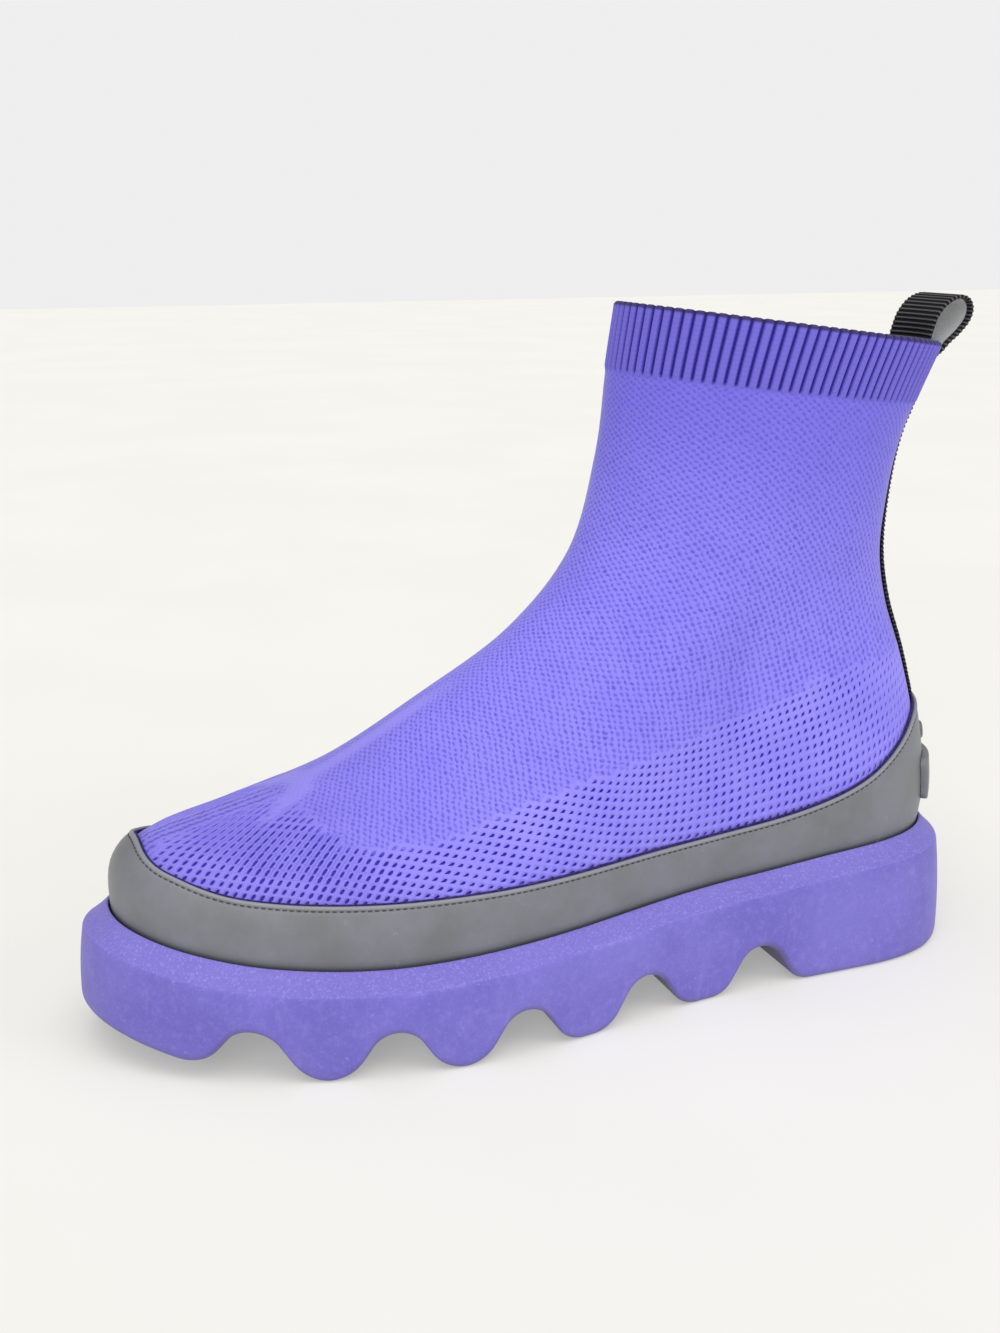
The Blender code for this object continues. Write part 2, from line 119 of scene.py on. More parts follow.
def smooth_through(places, values, at):
    """Values on a smooth curve through a table, as a batten bends through pins."""
    places = np.asarray(places, float)
    values = np.asarray(values, float)
    low = np.clip(np.searchsorted(places, at, side="left") - 1, 0, len(places) - 2)
    before = np.maximum(low - 1, 0)
    after = np.minimum(low + 2, len(places) - 1)
    step = places[low + 1] - places[low]
    leave = (values[low + 1] - values[before]) * step / (places[low + 1] - places[before])
    arrive = (values[after] - values[low]) * step / (places[after] - places[low])
    return eased(values[low], values[low + 1], leave, arrive, (at - places[low]) / step)


def crease_height(share):
    return smooth_through(CREASE_SHARE, CREASE_HEIGHT, share)


def length_share(angle):
    """Share of the way from the back to the toe; the angle is 0 at the toe and pi at the back."""
    return (1.0 + np.cos(angle)) / 2.0


def ring_point(ring, angle):
    """Points of a ring; the angle runs from the toe over the outer side to the back."""
    (front_x, front_z, back_x, back_z, outer, inner, heel, heel_zone, toe_zone,
     heel_power, toe_power, swing, dip) = np.moveaxis(ring, -1, 0)
    share = length_share(angle)
    side = np.where(np.sin(angle) >= 0.0, 1.0, -1.0)
    ball = np.where(side > 0.0, outer, inner)
    width = heel + (ball - heel) * smoothstep(*WAIST_TO_BALL, share)
    into_heel = np.clip(1.0 - share / heel_zone, 0.0, 1.0)
    into_toe = np.clip((share - 1.0 + toe_zone) / toe_zone, 0.0, 1.0)
    width = width * (1.0 - into_heel ** heel_power) ** (1.0 / heel_power)
    width = width * (1.0 - into_toe ** toe_power) ** (1.0 / toe_power)
    straight = CREASE_HEIGHT[0] + share * (CREASE_HEIGHT[-1] - CREASE_HEIGHT[0])
    x = back_x + share * (front_x - back_x)
    y = side * width - swing * smoothstep(*TOE_SWING, share)
    z = back_z + share * (front_z - back_z) - dip * (straight - crease_height(share))
    return np.stack(np.broadcast_arrays(x, y, z), -1)


def last_point(angle, rise):
    """Points on the outside of the knit; rise counts the rings from the foot up."""
    angle, rise = np.broadcast_arrays(np.asarray(angle, float), np.asarray(rise, float))
    low = np.clip(np.ceil(rise).astype(int) - 1, 0, TOP_RING - 1)
    rows = [ring_point(LAST[np.clip(low + k, 0, TOP_RING)], angle) for k in (-1, 0, 1, 2)]
    leave = (rows[2] - rows[0]) / np.where(low > 0, 2.0, 1.0)[..., None]
    arrive = (rows[3] - rows[1]) / np.where(low < TOP_RING - 1, 2.0, 1.0)[..., None]
    return eased(rows[1], rows[2], leave, arrive, (rise - low)[..., None])


def unit(vectors):
    return vectors / np.linalg.norm(vectors, axis=-1, keepdims=True)


def last_normal(angle, rise):
    """Directions out of the knit, level at its foot."""
    angle, rise = np.broadcast_arrays(np.asarray(angle, float), np.asarray(rise, float))
    across = last_point(angle + SLOPE_TURN, rise) - last_point(angle - SLOPE_TURN, rise)
    over = last_point(angle, np.minimum(rise + SLOPE_RISE, TOP_RING))
    under = last_point(angle, np.maximum(rise - SLOPE_RISE, 0.0))
    normal = unit(np.cross(across, over - under))
    normal[..., 2] *= smoothstep(*LEVEL_FOOT, rise)
    return unit(normal)


def off_last(angle, rise, out):
    return last_point(angle, rise) + np.asarray(out)[..., None] * last_normal(angle, rise)


def halved(low, high, is_below, steps=40):
    """The place between low and high where is_below turns false, found by halving."""
    for _ in range(steps):
        middle = (low + high) / 2.0
        below = is_below(middle)
        low = np.where(below, middle, low)
        high = np.where(below, high, middle)
    return (low + high) / 2.0


def rise_at_height(angle, height, high):
    """Rise at which the knit reaches a height, for every angle."""
    def is_below(rise):
        return last_point(angle, rise)[..., 2] < height

    return halved(np.zeros_like(angle), np.full_like(angle, high), is_below)


def walk_along(points, axis=0):
    """Length walked along one axis of a table of points, from 0 at its start."""
    steps = np.linalg.norm(np.diff(points, axis=axis), axis=-1)
    return np.insert(np.cumsum(steps, axis=axis), 0, 0.0, axis=axis)


def even_angles(curve, count):
    """Angles at equal steps along a closed curve, the first repeated at the end."""
    fine = np.linspace(0.0, math.tau, 7201)
    walk = walk_along(curve(fine))
    return np.interp(np.linspace(0.0, walk[-1], count + 1), walk, fine)


def put_marks(mesh, marks):
    """Write marks that a finish reads, one number or one vector for every point."""
    for mark, values in marks:
        is_vector = values.ndim == 2
        layer = mesh.attributes.new(mark, "FLOAT_VECTOR" if is_vector else "FLOAT", "POINT")
        layer.data.foreach_set("vector" if is_vector else "value", values.ravel())


def laid_grid(name, points, marks=()):
    """A grid whose points are laid on a table of places, rows up and columns along; seams merge."""
    rows, columns = points.shape[:2]
    bpy.ops.object.select_all(action="DESELECT")
    bpy.ops.mesh.primitive_grid_add(x_subdivisions=columns - 1, y_subdivisions=rows - 1, size=2.0)
    piece = bpy.context.active_object
    piece.name = name
    mesh = piece.data
    mesh.name = name
    flat = np.empty(len(mesh.vertices) * 3)
    mesh.vertices.foreach_get("co", flat)
    flat = flat.reshape(-1, 3)
    column = np.rint((flat[:, 0] + 1.0) / 2.0 * (columns - 1)).astype(int)
    row = np.rint((flat[:, 1] + 1.0) / 2.0 * (rows - 1)).astype(int)
    mesh.vertices.foreach_set("co", (points[row, column] + HEEL).ravel())
    put_marks(mesh, [(mark, values[row, column]) for mark, values in marks])
    bpy.ops.object.mode_set(mode="EDIT")
    bpy.ops.mesh.select_all(action="SELECT")
    bpy.ops.mesh.remove_doubles(threshold=MERGE_WITHIN)
    bpy.ops.object.mode_set(mode="OBJECT")
    bpy.ops.object.shade_smooth()
    return piece


def row_mark(points, first, values):
    """A mark with one value a row, from the given row on, and 0 elsewhere."""
    mark = np.zeros(points.shape[:2])
    mark[first:first + len(values)] = np.array(values)[:, None]
    return mark


def dress(piece, finish, slot, *nodes):
    """Give a piece its finish and let it stand for CAD nodes; the slot is not used."""
    piece.data.materials.append(finish.material)
    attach(piece, "root")
    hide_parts(*nodes)


def colour(red, green, blue):
    """A colour as a paint chip gives it, 0 to 255, made linear."""
    chips = [chip / 255.0 for chip in (red, green, blue)]
    return tuple(c / 12.92 if c < 0.04045 else ((c + 0.055) / 1.055) ** 2.4 for c in chips) + (1.0,)


def plug(place, value):
    if isinstance(value, Grade):
        place.id_data.links.new(value.socket, place)
    else:
        place.default_value = value


class Grade:
    """A value that changes over a surface; arithmetic on it adds Math nodes."""

    def __init__(self, socket):
        self.socket = socket

    def math(self, operation, *values):
        node = self.socket.id_data.nodes.new("ShaderNodeMath")
        node.operation = operation
        for place, value in zip(node.inputs, values):
            plug(place, value)
        return Grade(node.outputs[0])

    def __add__(self, other):
        return self.math("ADD", self, other)

    def __radd__(self, other):
        return self.math("ADD", other, self)

    def __sub__(self, other):
        return self.math("SUBTRACT", self, other)

    def __rsub__(self, other):
        return self.math("SUBTRACT", other, self)

    def __mul__(self, other):
        return self.math("MULTIPLY", self, other)

    def __rmul__(self, other):
        return self.math("MULTIPLY", other, self)

    def cosine(self):
        return self.math("COSINE", self)

    def between(self, low, high):
        """0 below low, 1 above high, smooth between."""
        smooth = {"interpolation_type": "SMOOTHSTEP"}
        ranged = add_node(
            self.socket.id_data, "ShaderNodeMapRange", smooth, Value=self, From_Min=low, From_Max=high
        )
        return ranged["Result"]


def add_node(tree, kind, settings=None, **values):
    """Add a node, its settings first, then the values or links of its sockets; outputs by name."""
    node = tree.nodes.new(kind)
    for key, value in (settings or {}).items():
        setattr(node, key, value)
    for key, value in values.items():
        named = (
            place for place in node.inputs
            if place.enabled and key in (place.name.replace(" ", "_"), place.identifier)
        )
        plug(next(named), value)
    return {output.name: Grade(output) for output in node.outputs if output.enabled}


class Finish:
    """A material: its nodes, the colours laid over each other, and what wear does to its surface."""

    def __init__(self, name, roughness, **constants):
        self.material = bpy.data.materials.new(name)
        self.material.use_nodes = True
        self.shader = self.material.node_tree.nodes["Principled BSDF"]
        self.shader.inputs["Roughness"].default_value = roughness
        for key, value in constants.items():
            self.shader.inputs[key.replace("_", " ")].default_value = value

    def node(self, kind, settings=None, **values):
        return add_node(self.material.node_tree, kind, settings, **values)

    def place(self):
        return self.node("ShaderNodeTexCoord")["Object"]

    def mark(self, name):
        """A number that is marked on the points."""
        return self.node("ShaderNodeAttribute", {"attribute_name": name})["Fac"]

    def mark_parts(self, name):
        """The three numbers of a vector that is marked on the points."""
        marked = self.node("ShaderNodeAttribute", {"attribute_name": name})["Vector"]
        return self.parts(marked)

    def parts(self, vector):
        return self.node("ShaderNodeSeparateXYZ", Vector=vector)

    def noise(self, scale, detail, roughness, at=None):
        made = self.node(
            "ShaderNodeTexNoise", Vector=at or self.place(), Scale=scale, Detail=detail, Roughness=roughness
        )
        return made["Fac"]

    def mix(self, share, first, second):
        return self.node("ShaderNodeMix", {"data_type": "RGBA"}, Factor=share, A=first, B=second)["Result"]

    def coats(self, base, *laid):
        """Colours laid over a base one after another, each with the share of it that covers."""
        for share, tint in laid:
            base = self.mix(share, base, tint)
        return base

    def wear(self, base, rough=None, height=None, strength=1.0, distance=0.001):
        """Link what changes over the surface to the shader."""
        plug(self.shader.inputs["Base Color"], base)
        if rough is not None:
            plug(self.shader.inputs["Roughness"], rough)
        if height is not None:
            bump = self.node("ShaderNodeBump", Height=height, Strength=strength, Distance=distance)
            plug(self.shader.inputs["Normal"], bump["Normal"])


def grown(ring, by):
    """The same ring, wider all round."""
    return ring + np.array([by, 0, -by, 0, by, by, by, 0, 0, 0, 0, 0, 0])


# The tread keeps the foot's outline with its own two ends and a blunter toe
TREAD = grown(LAST[0], SOLE_MARGIN)
TREAD[[0, 2, 10]] = (SOLE_LENGTH, 0.0, 2.1)


def wave_drop(x, depth, reach, top, foot):
    """How far a trough has come down at x from its middle: an arc, a straight flank, an arc."""
    both = top + foot
    flank = math.sqrt(reach ** 2 + (depth - both) ** 2 - both ** 2)
    lean = math.atan2(reach, both - depth) - math.atan2(flank, both)
    flank_from = top * math.sin(lean)
    flank_to = reach - foot * math.sin(lean)
    upper = top - np.sqrt(np.maximum(top ** 2 - x ** 2, 0.0))
    straight = top * (1.0 - math.cos(lean)) + (x - flank_from) * math.tan(lean)
    lower = depth - foot + np.sqrt(np.maximum(foot ** 2 - np.maximum(reach - x, 0.0) ** 2, 0.0))
    return np.where(x < flank_from, upper, np.where(x < flank_to, straight, lower))


def tread_height(share):
    """Height of the tread: toe spring, rounded heel and the troughs."""
    into_toe = np.clip((share - TOE_SPRING_FROM) / (1.0 - TOE_SPRING_FROM), 0.0, 1.0)
    into_heel = np.clip(1.0 - share / HEEL_LIFT_TO, 0.0, 1.0)
    height = TOE_SPRING * into_toe ** 1.7 + HEEL_LIFT * into_heel ** 2
    for middle, depth, reach, top, foot in ARCHES:
        height = height + depth - wave_drop(np.abs(share - middle) * SOLE_LENGTH, depth, reach, top, foot)
    return height


def sole_row(inset, height):
    row = ring_point(grown(TREAD, -inset), sole_angles)
    row[:, 2] = height
    return row


def cup_row(height):
    row = off_last(sole_angles, rise_at_height(sole_angles, height, 4.0), CUP_GAP)
    row[:, 2] = height
    return row


def rounded(before, corner, after, steps):
    """Rows that round a corner between two rows of points."""
    ends = []
    for side in (before, after):
        share = np.minimum(EDGE_ROUND / np.linalg.norm(side - corner, axis=1), 0.8)
        ends.append(corner + (side - corner) * share[:, None])
    rows = []
    for t in np.linspace(0.0, 1.0, steps):
        rows.append(ends[0] * (1 - t) ** 2 + corner * 2 * t * (1 - t) + ends[1] * t * t)
    return rows


def to_middle(row, shares):
    """Rows between an outline and its middle line."""
    middle = (row + row[::-1]) / 2.0
    return [middle + (row - middle) * share for share in shares]


sole_angles = even_angles(lambda angle: ring_point(TREAD, angle), SOLE_COLUMNS)
sole_share = length_share(sole_angles)
tread = tread_height(sole_share)
crease = crease_height(sole_share)
sole_rows = to_middle(sole_row(TREAD_ROUND, tread), (0.0, 0.3, 0.55, 0.75, 0.9, 0.97))
for turn in np.radians((0.0, 18.0, 36.0, 54.0, 72.0, 90.0)):
    inset = TREAD_ROUND * (1.0 - np.sin(turn))
    sole_rows.append(sole_row(inset, tread + TREAD_ROUND * (1.0 - np.cos(turn))))
for up in (0.12, 0.24, 0.36, 0.48, 0.60, 0.72, 0.84):
    flare = SIDE_FLARE * (1.2 * up * up - 0.2 * up)
    sole_rows.append(sole_row(flare, (tread + TREAD_ROUND) * (1.0 - up) + crease * up))
wall_rows = len(sole_rows)
corner = sole_row(SIDE_FLARE, crease)
cup_top = cup_row(crease + LEDGE_RISE)
cup_low = cup_row(crease + LEDGE_RISE - CUP_DEPTH)
sole_rows += rounded(sole_rows[-1], corner, cup_top, 7)
ledge_start = sole_rows[-1]
ledge_end = cup_top + unit(corner - cup_top) * EDGE_ROUND
for share in (0.2, 0.4, 0.6, 0.8):
    sag = LEDGE_SAG * math.sin(math.pi * share)
    sole_rows.append(ledge_start * (1.0 - share) + ledge_end * share - (0.0, 0.0, sag))
sole_rows += rounded(corner, cup_top, cup_low, 5)
sole_rows += [cup_top * 0.5 + cup_low * 0.5, cup_low]
sole_rows += to_middle(cup_low, (0.75, 0.4, 0.0))
sole_points = np.array(sole_rows)
# Along the crease: worn paler, with a painted highlight where the edge catches the light
crease_wear_and_highlight = row_mark(sole_points, wall_rows, (0.1, 0.5, 0.9, 1.0, 0.9, 0.4, 0.1))
# The ledge: grainier skin, and painted paler for the light on its upward face
ledge = row_mark(sole_points, wall_rows + 4, (1.0,) * 12)
# low_edge: 2 on the underside, falling off up the wall; the underside gets grime and painted shade
low_edge = row_mark(
    sole_points, 0, (2.0, 2.0, 2.0, 2.0, 2.0, 1.9, 1.6, 1.3, 1.1, 1.0, 0.95, 0.85, 0.6, 0.35, 0.2, 0.1)
)
sole = laid_grid("foam_sole", sole_points, (("skin", np.stack([crease_wear_and_highlight, ledge, low_edge], axis=-1)),))

foam = Finish("sole_foam", 0.62, Specular_IOR_Level=0.30, Sheen_Weight=0.10, Sheen_Roughness=0.6)
skin = foam.mark_parts("skin")
cloud = foam.noise(34.0, 4.0, 0.6)
mottle = foam.noise(380.0, 4.0, 0.65)
pores = foam.noise(2400.0, 2.0, 0.5)
grit = foam.noise(1350.0, 2.0, 0.6)
dirt_and_shade = foam.noise(210.0, 4.0, 0.65)
drawn_up = foam.node("ShaderNodeMapping", Vector=foam.place(), Scale=(1.0, 1.0, 0.3))["Vector"]
smears = foam.noise(150.0, 5.0, 0.7, at=drawn_up).between(0.54, 0.74)
streaks = foam.noise(70.0, 5.0, 0.7).between(0.52, 0.72)
specks = foam.noise(620.0, 1.0, 0.4).between(0.74, 0.79)
base = foam.coats(
    foam.mix(cloud.between(0.34, 0.68), colour(104, 95, 185), colour(117, 108, 197)),
    (mottle.between(0.46, 0.74) * 0.34, colour(138, 128, 212)),
    (smears * 0.34, colour(142, 133, 210)),
    # Ledge painted paler, a painted highlight for the light from above on its upward face
    (skin["Y"] * 0.60, colour(124, 113, 199)),
    (grit.between(0.50, 0.72) * (0.14 + skin["Y"] * 0.30), colour(160, 149, 226)),
    ((1.0 - grit).between(0.52, 0.74) * (0.10 + skin["Y"] * 0.16), colour(98, 88, 184)),
    (streaks * skin["Z"].between(0.0, 1.0) * 0.45, colour(104, 95, 160)),
    # Crease worn paler, with a painted highlight
    (skin["X"] * streaks * 0.40, colour(160, 148, 234)),
    (specks * 0.16, colour(190, 183, 228)),
    (skin["Z"].between(0.68, 1.05) * (0.16 + dirt_and_shade * 0.50), colour(84, 78, 106)),
    # Underside painted dark grey: grime, and painted shade where the troughs lie in shadow
    (skin["Z"].between(1.05, 1.80) * (0.45 + dirt_and_shade * 0.5), colour(66, 61, 78)),
)
relief = mottle * 0.5 + pores * 0.30 + cloud * 0.5 + grit * skin["Y"] * 0.25
foam.wear(base, 0.55 + mottle * 0.2, relief, strength=0.32, distance=0.0006)
dress(sole, foam, "sole_foam", "sole")


# Insole
# A removable footbed of foam faced with dark brushed cloth. It lies loose on the floor of the sole and
# turns up a little along its edge.
INSOLE_INSET = 0.0027
INSOLE_LIFT = 0.0003
INSOLE_COLUMNS = 260
# Edge and upper face, from the underside on: how far in from the outline, how far up
INSOLE_EDGE = (
    (0.0006, 0.0), (0.0, 0.0008), (0.0, 0.0024), (0.0002, 0.0034), (0.0008, 0.0041), (0.0016, 0.0042),
    (0.004, 0.0040), (0.008, 0.0036), (0.013, 0.0034),
)
insole_ring = grown(LAST[0], -INSOLE_INSET)
insole_angles = even_angles(lambda angle: ring_point(insole_ring, angle), INSOLE_COLUMNS)
insole_floor = crease_height(length_share(insole_angles)) + LEDGE_RISE - CUP_DEPTH + INSOLE_LIFT


def insole_row(inset, up):
    row = ring_point(grown(insole_ring, -inset), insole_angles)
    row[:, 2] = insole_floor + up
    return row


insole_rows = to_middle(insole_row(*INSOLE_EDGE[0]), (0.0, 0.5, 0.9))
insole_rows += [insole_row(inset, up) for inset, up in INSOLE_EDGE]
insole_rows += to_middle(insole_rows[-1], (0.7, 0.4, 0.0))
insole = laid_grid("insole_footbed", np.array(insole_rows))
cloth = Finish("insole_cloth", 0.9, Sheen_Weight=0.3, Sheen_Roughness=0.5)
nap = cloth.noise(1500.0, 3.0, 0.6)
patch = cloth.noise(60.0, 3.0, 0.5)
base = cloth.coats(
    cloth.mix(patch.between(0.35, 0.7), colour(38, 33, 62), colour(52, 46, 84)),
    (nap.between(0.4, 0.8) * 0.5, colour(78, 71, 112)),
)
cloth.wear(base, height=nap, strength=0.4, distance=0.0005)
dress(insole, cloth, "insole_cloth", "insole")


# Knitted sock
# One seamless sock of dense knit with small staggered dots, grooves over the toe and a plain pale band up
# the front, closed by a ribbed cuff that stands out a little. It is glued into the sole and the rand.
# Where the open mesh is knitted in, this sheet lies deeper, as its dark backing. Painted shade darkens
# the knit below the cuff, toward the toe and in the cuff's grooves; the pale band is painted paler also
# as a highlight.
WALL = 0.0021
CUFF = 9.0
CUFF_EDGE = (8.95, 9.05)
CUFF_STEP = 0.0002
COLLAR_EDGE = (9.95, 9.98)
COLLAR = 9.985
COLLAR_ROLL = 0.0009
RIBS = 88
RIB_COLUMNS = 10
RIB_DEPTH = 0.0011
RIB_SWELL = 0.0003
RIB_NOTCH = 0.0003
BACKING_DEPTH = 0.0008
RAND_EDGE_ANGLE = (-20, 0, 20, 38, 58, 78, 95, 110, 124, 136, 148, 158, 168, 180, 192)
RAND_EDGE_HEIGHT = (
    0.0555, 0.0593, 0.0555, 0.0504, 0.0481, 0.0490, 0.0502, 0.0514,
    0.0549, 0.0610, 0.0700, 0.0765, 0.0795, 0.0806, 0.0795,
)
edge_table_angle = np.radians(np.linspace(0.0, 180.0, 361))
edge_table_height = smooth_through(RAND_EDGE_ANGLE, RAND_EDGE_HEIGHT, np.degrees(edge_table_angle))
edge_table_rise = rise_at_height(edge_table_angle, edge_table_height, 6.0)


def one_side(angle):
    """The angle as it would be on the outer side."""
    folded = np.mod(angle, math.tau)
    return np.where(folded > math.pi, math.tau - folded, folded)


def rand_rise(angle):
    return np.interp(one_side(angle), edge_table_angle, edge_table_rise)


def rand_height(angle):
    return np.interp(one_side(angle), edge_table_angle, edge_table_height)


# Stitch count: u runs along the foot and around the heel and shaft, v up the side from the sole
TURN_X = 0.085
SIDE_FOOT = 0.0325
# Where counting along the foot goes over into counting round the shaft, up the side into plain height
SHAFT_ROUND = (4.2, 7.5)
SHAFT_UP = (3.6, 6.2)
HEEL_TO_SIDE = (0.055, 0.10)
COURSE_X = (
    0.008, 0.02, 0.03, 0.04, 0.05, 0.06, 0.07, 0.08, 0.09, 0.10, 0.11, 0.12,
    0.13, 0.14, 0.15, 0.16, 0.17, 0.18, 0.19, 0.20, 0.21, 0.22, 0.23, 0.24,
    0.25, 0.26, 0.275,
)
COURSE_SAG = (
    0.0126, 0.0106, 0.0086, 0.0066, 0.0046, 0.0030, 0.0018, 0.0009, 0.0003, 0.0, 0.0, 0.0005,
    0.0015, 0.0031, 0.0050, 0.0069, 0.0087, 0.0104, 0.0119, 0.0132, 0.0143, 0.0152, 0.0159, 0.0163,
    0.0165, 0.0166, 0.0166,
)
section_x = np.linspace(0.006, 0.274, 300)
section_rise = np.linspace(0.0, TOP_RING, 301)
front_line = last_point(0.0, section_rise)
back_line = last_point(math.pi, section_rise)


def share_of(x, rise):
    front = np.interp(rise, section_rise, front_line[:, 0])
    back = np.interp(rise, section_rise, back_line[:, 0])
    return np.clip((x - back) / (front - back), 0.0, 1.0)


def angle_of(x, rise):
    return np.arccos(np.clip(2.0 * share_of(x, rise) - 1.0, -1.0, 1.0))


section = last_point(angle_of(section_x[:, None], section_rise), section_rise)
section_girth = walk_along(section, axis=1)
round_angle = np.linspace(0.0, math.pi, 361)
from_front = walk_along(last_point(round_angle[:, None], section_rise))
from_back = from_front[-1] - from_front


def in_table(table, rows, columns, row, column):
    """Value between the entries of a table of two evenly spaced scales."""
    i = np.clip((row - rows[0]) / (rows[1] - rows[0]), 0.0, len(rows) - 1.001)
    j = np.clip((column - columns[0]) / (columns[1] - columns[0]), 0.0, len(columns) - 1.001)
    low_i = i.astype(int)
    low_j = j.astype(int)
    i = i - low_i
    j = j - low_j
    low = table[low_i, low_j] * (1 - j) + table[low_i, low_j + 1] * j
    high = table[low_i + 1, low_j] * (1 - j) + table[low_i + 1, low_j + 1] * j
    return low * (1 - i) + high * i


def stitch_count(angle, rise):
    """Where a point lies in the knit: metres along its courses and up its wales."""
    angle = one_side(angle)
    point = last_point(angle, rise)
    x = point[..., 0]
    girth = in_table(section_girth, section_x, section_rise, x, rise)
    shaft_u = smoothstep(*SHAFT_ROUND, rise)
    shaft_v = smoothstep(*SHAFT_UP, rise)
    turn = in_table(from_back, round_angle, section_rise, angle, rise)
    turn = turn - in_table(from_back, round_angle, section_rise, angle_of(TURN_X, rise), rise)
    forward = np.maximum(x - TURN_X, 0.0)
    u = TURN_X + np.where(turn < 0.0, turn, forward * (1.0 - shaft_u) + turn * shaft_u)
    by_girth = smoothstep(*HEEL_TO_SIDE, x) * (1.0 - shaft_v)
    sag = np.interp(x, COURSE_X, COURSE_SAG) * (1.0 - shaft_v)
    v = by_girth * girth + (1.0 - by_girth) * (point[..., 2] - SIDE_FOOT) - sag
    return u, v


# Courses of the dense knit run round the sock like those of any sock: level at the cuff, then ever
# steeper over the ankle and along the foot. Each starts on the front line at its tilt in degrees.
COURSE_START = (0.0, 0.020, 0.040, 0.059, 0.0846, 0.0965, 0.1217, 0.1578, 0.19, 0.22, 0.2624)
COURSE_TILT = (7.0, 8.0, 13.0, 18.5, 30.4, 38.0, 48.7, 56.5, 63.0, 70.0, 80.0)
COURSES = 140
COURSE_SPOTS = 121


def spots_along(at, walk, rows):
    """Rows of a table of points at given lengths of the walk along it."""
    flat = rows.reshape(len(rows), -1)
    spots = [np.interp(at, walk, column) for column in flat.T]
    return np.stack(spots, axis=-1).reshape(-1, *rows.shape[1:])


def under_course(rise):
    """Whether the knit at this rise still lies below the slanted plane of its course."""
    spot = last_point(course_angle, rise)
    over = (spot[..., 2] - course_front[:, None, 1]) * np.cos(course_tilt)
    over -= (spot[..., 0] - course_front[:, None, 0]) * np.sin(course_tilt)
    return over < 0.0


down_line = front_line[::-1]
front_walk = walk_along(down_line)
course_start = np.linspace(0.0, front_walk[-1], COURSES)
course_front = spots_along(course_start, front_walk, down_line[:, ::2])
course_tilt = np.radians(np.interp(course_start, COURSE_START, COURSE_TILT))[:, None]
course_angle = np.linspace(0.0, math.pi, COURSE_SPOTS)
lowest = np.zeros((COURSES, COURSE_SPOTS))
course_rise = halved(lowest, lowest + TOP_RING, under_course, steps=30)
course_round = walk_along(last_point(course_angle, course_rise), axis=1)
dense_u = np.empty((COURSE_SPOTS, len(section_rise)))
dense_v = np.empty((COURSE_SPOTS, len(section_rise)))
for k in range(COURSE_SPOTS):
    dense_u[k] = np.interp(section_rise, course_rise[::-1, k], course_round[::-1, k])
    dense_v[k] = np.interp(section_rise, course_rise[::-1, k], course_start[::-1])


def dense_count(angle, rise):
    """Where a point lies in the dense knit: metres round the sock and along it."""
    angle = one_side(angle)
    u = in_table(dense_u, course_angle, section_rise, angle, rise)
    return u, in_table(dense_v, course_angle, section_rise, angle, rise)


# Upper edge of the open mesh, as stitch counts: along the side, up to a point on the vamp, round the toe
MESH_U = (
    -0.02, 0.028, 0.047, 0.0606, 0.0725, 0.0836, 0.0951, 0.1068, 0.1182, 0.1294, 0.1397, 0.1502,
    0.1602, 0.17, 0.1777, 0.1842, 0.1901, 0.2048, 0.2092, 0.2111, 0.2138, 0.2163, 0.2178, 0.2195,
    0.2228, 0.2291, 0.2340, 0.24, 0.275,
)
MESH_V = (
    0.0575, 0.0583, 0.0608, 0.0602, 0.0572, 0.0560, 0.0555, 0.0529, 0.0501, 0.0475, 0.0448, 0.0415,
    0.0379, 0.0342, 0.0305, 0.0286, 0.0262, 0.0256, 0.0264, 0.0291, 0.0321, 0.0382, 0.0470, 0.0455,
    0.0435, 0.0377, 0.0332, 0.0320, 0.0320,
)
# Line where the grooves of the toe begin: place along the foot, height from which it leans back, lean
TOE_LINE_U = 0.2355
TOE_LINE_V = 0.0325
TOE_LINE_LEAN = 0.5625
TOE_LINE_SQUARE = 0.85
# Plain pale knit, also painted paler as a highlight on the fold and the ridge: an edging behind that line
# and above the mesh, and a ridge up the front of the vamp
EDGING_FROM = (-0.0085, -0.0060)
EDGING_TO = (-0.0015, 0.0005)
EDGING_UP = (0.031, 0.036)
RIDGE_FROM = (0.125, 0.150)
RIDGE_TO = (0.180, 0.190)
RIDGE_HALF = (0.0010, 0.0050)
# The mesh goes on a little under the rand, and a strip at the back is left for the tape
MESH_UNDER = 0.004
BACK_STRIP = 0.0075
BACK_STRIP_X = 0.05


def past_toe_line(u, v):
    """How far a place lies in front of the line where the grooves of the toe begin."""
    return (u - TOE_LINE_U + TOE_LINE_LEAN * np.maximum(v - TOE_LINE_V, 0.0)) * TOE_LINE_SQUARE


def below_mesh_edge(u, v):
    """How far a place lies below the upper edge of the open mesh."""
    return np.interp(u, MESH_U, MESH_V) - v


def plain_share(angle, rise):
    """Share of the plain pale band, also a painted highlight, that edges the toe and runs up the vamp's
    front.
    """
    u, v = stitch_count(angle, rise)
    off_middle, down_front = dense_count(angle, rise)
    past = past_toe_line(u, v)
    edging = smoothstep(*EDGING_FROM, past) * (1.0 - smoothstep(*EDGING_TO, past))
    edging = edging * (1.0 - smoothstep(*EDGING_TO, below_mesh_edge(u, v)))
    ridge = smoothstep(*RIDGE_FROM, down_front) * (1.0 - smoothstep(*RIDGE_TO, down_front))
    ridge = ridge * (1.0 - smoothstep(*RIDGE_HALF, off_middle))
    return np.maximum(edging * smoothstep(*EDGING_UP, v), ridge)


def mesh_depth(point, angle, u, v):
    """How far a point lies inside the open mesh, in metres; below 0 it is in the dense knit."""
    above_rand = point[..., 2] - rand_height(angle) + MESH_UNDER
    off_back = (np.abs(point[..., 1]) - BACK_STRIP) + np.maximum(point[..., 0] - BACK_STRIP_X, 0.0)
    inside = np.maximum(below_mesh_edge(u, v), past_toe_line(u, v))
    return np.minimum(np.minimum(inside, above_rand), off_back)


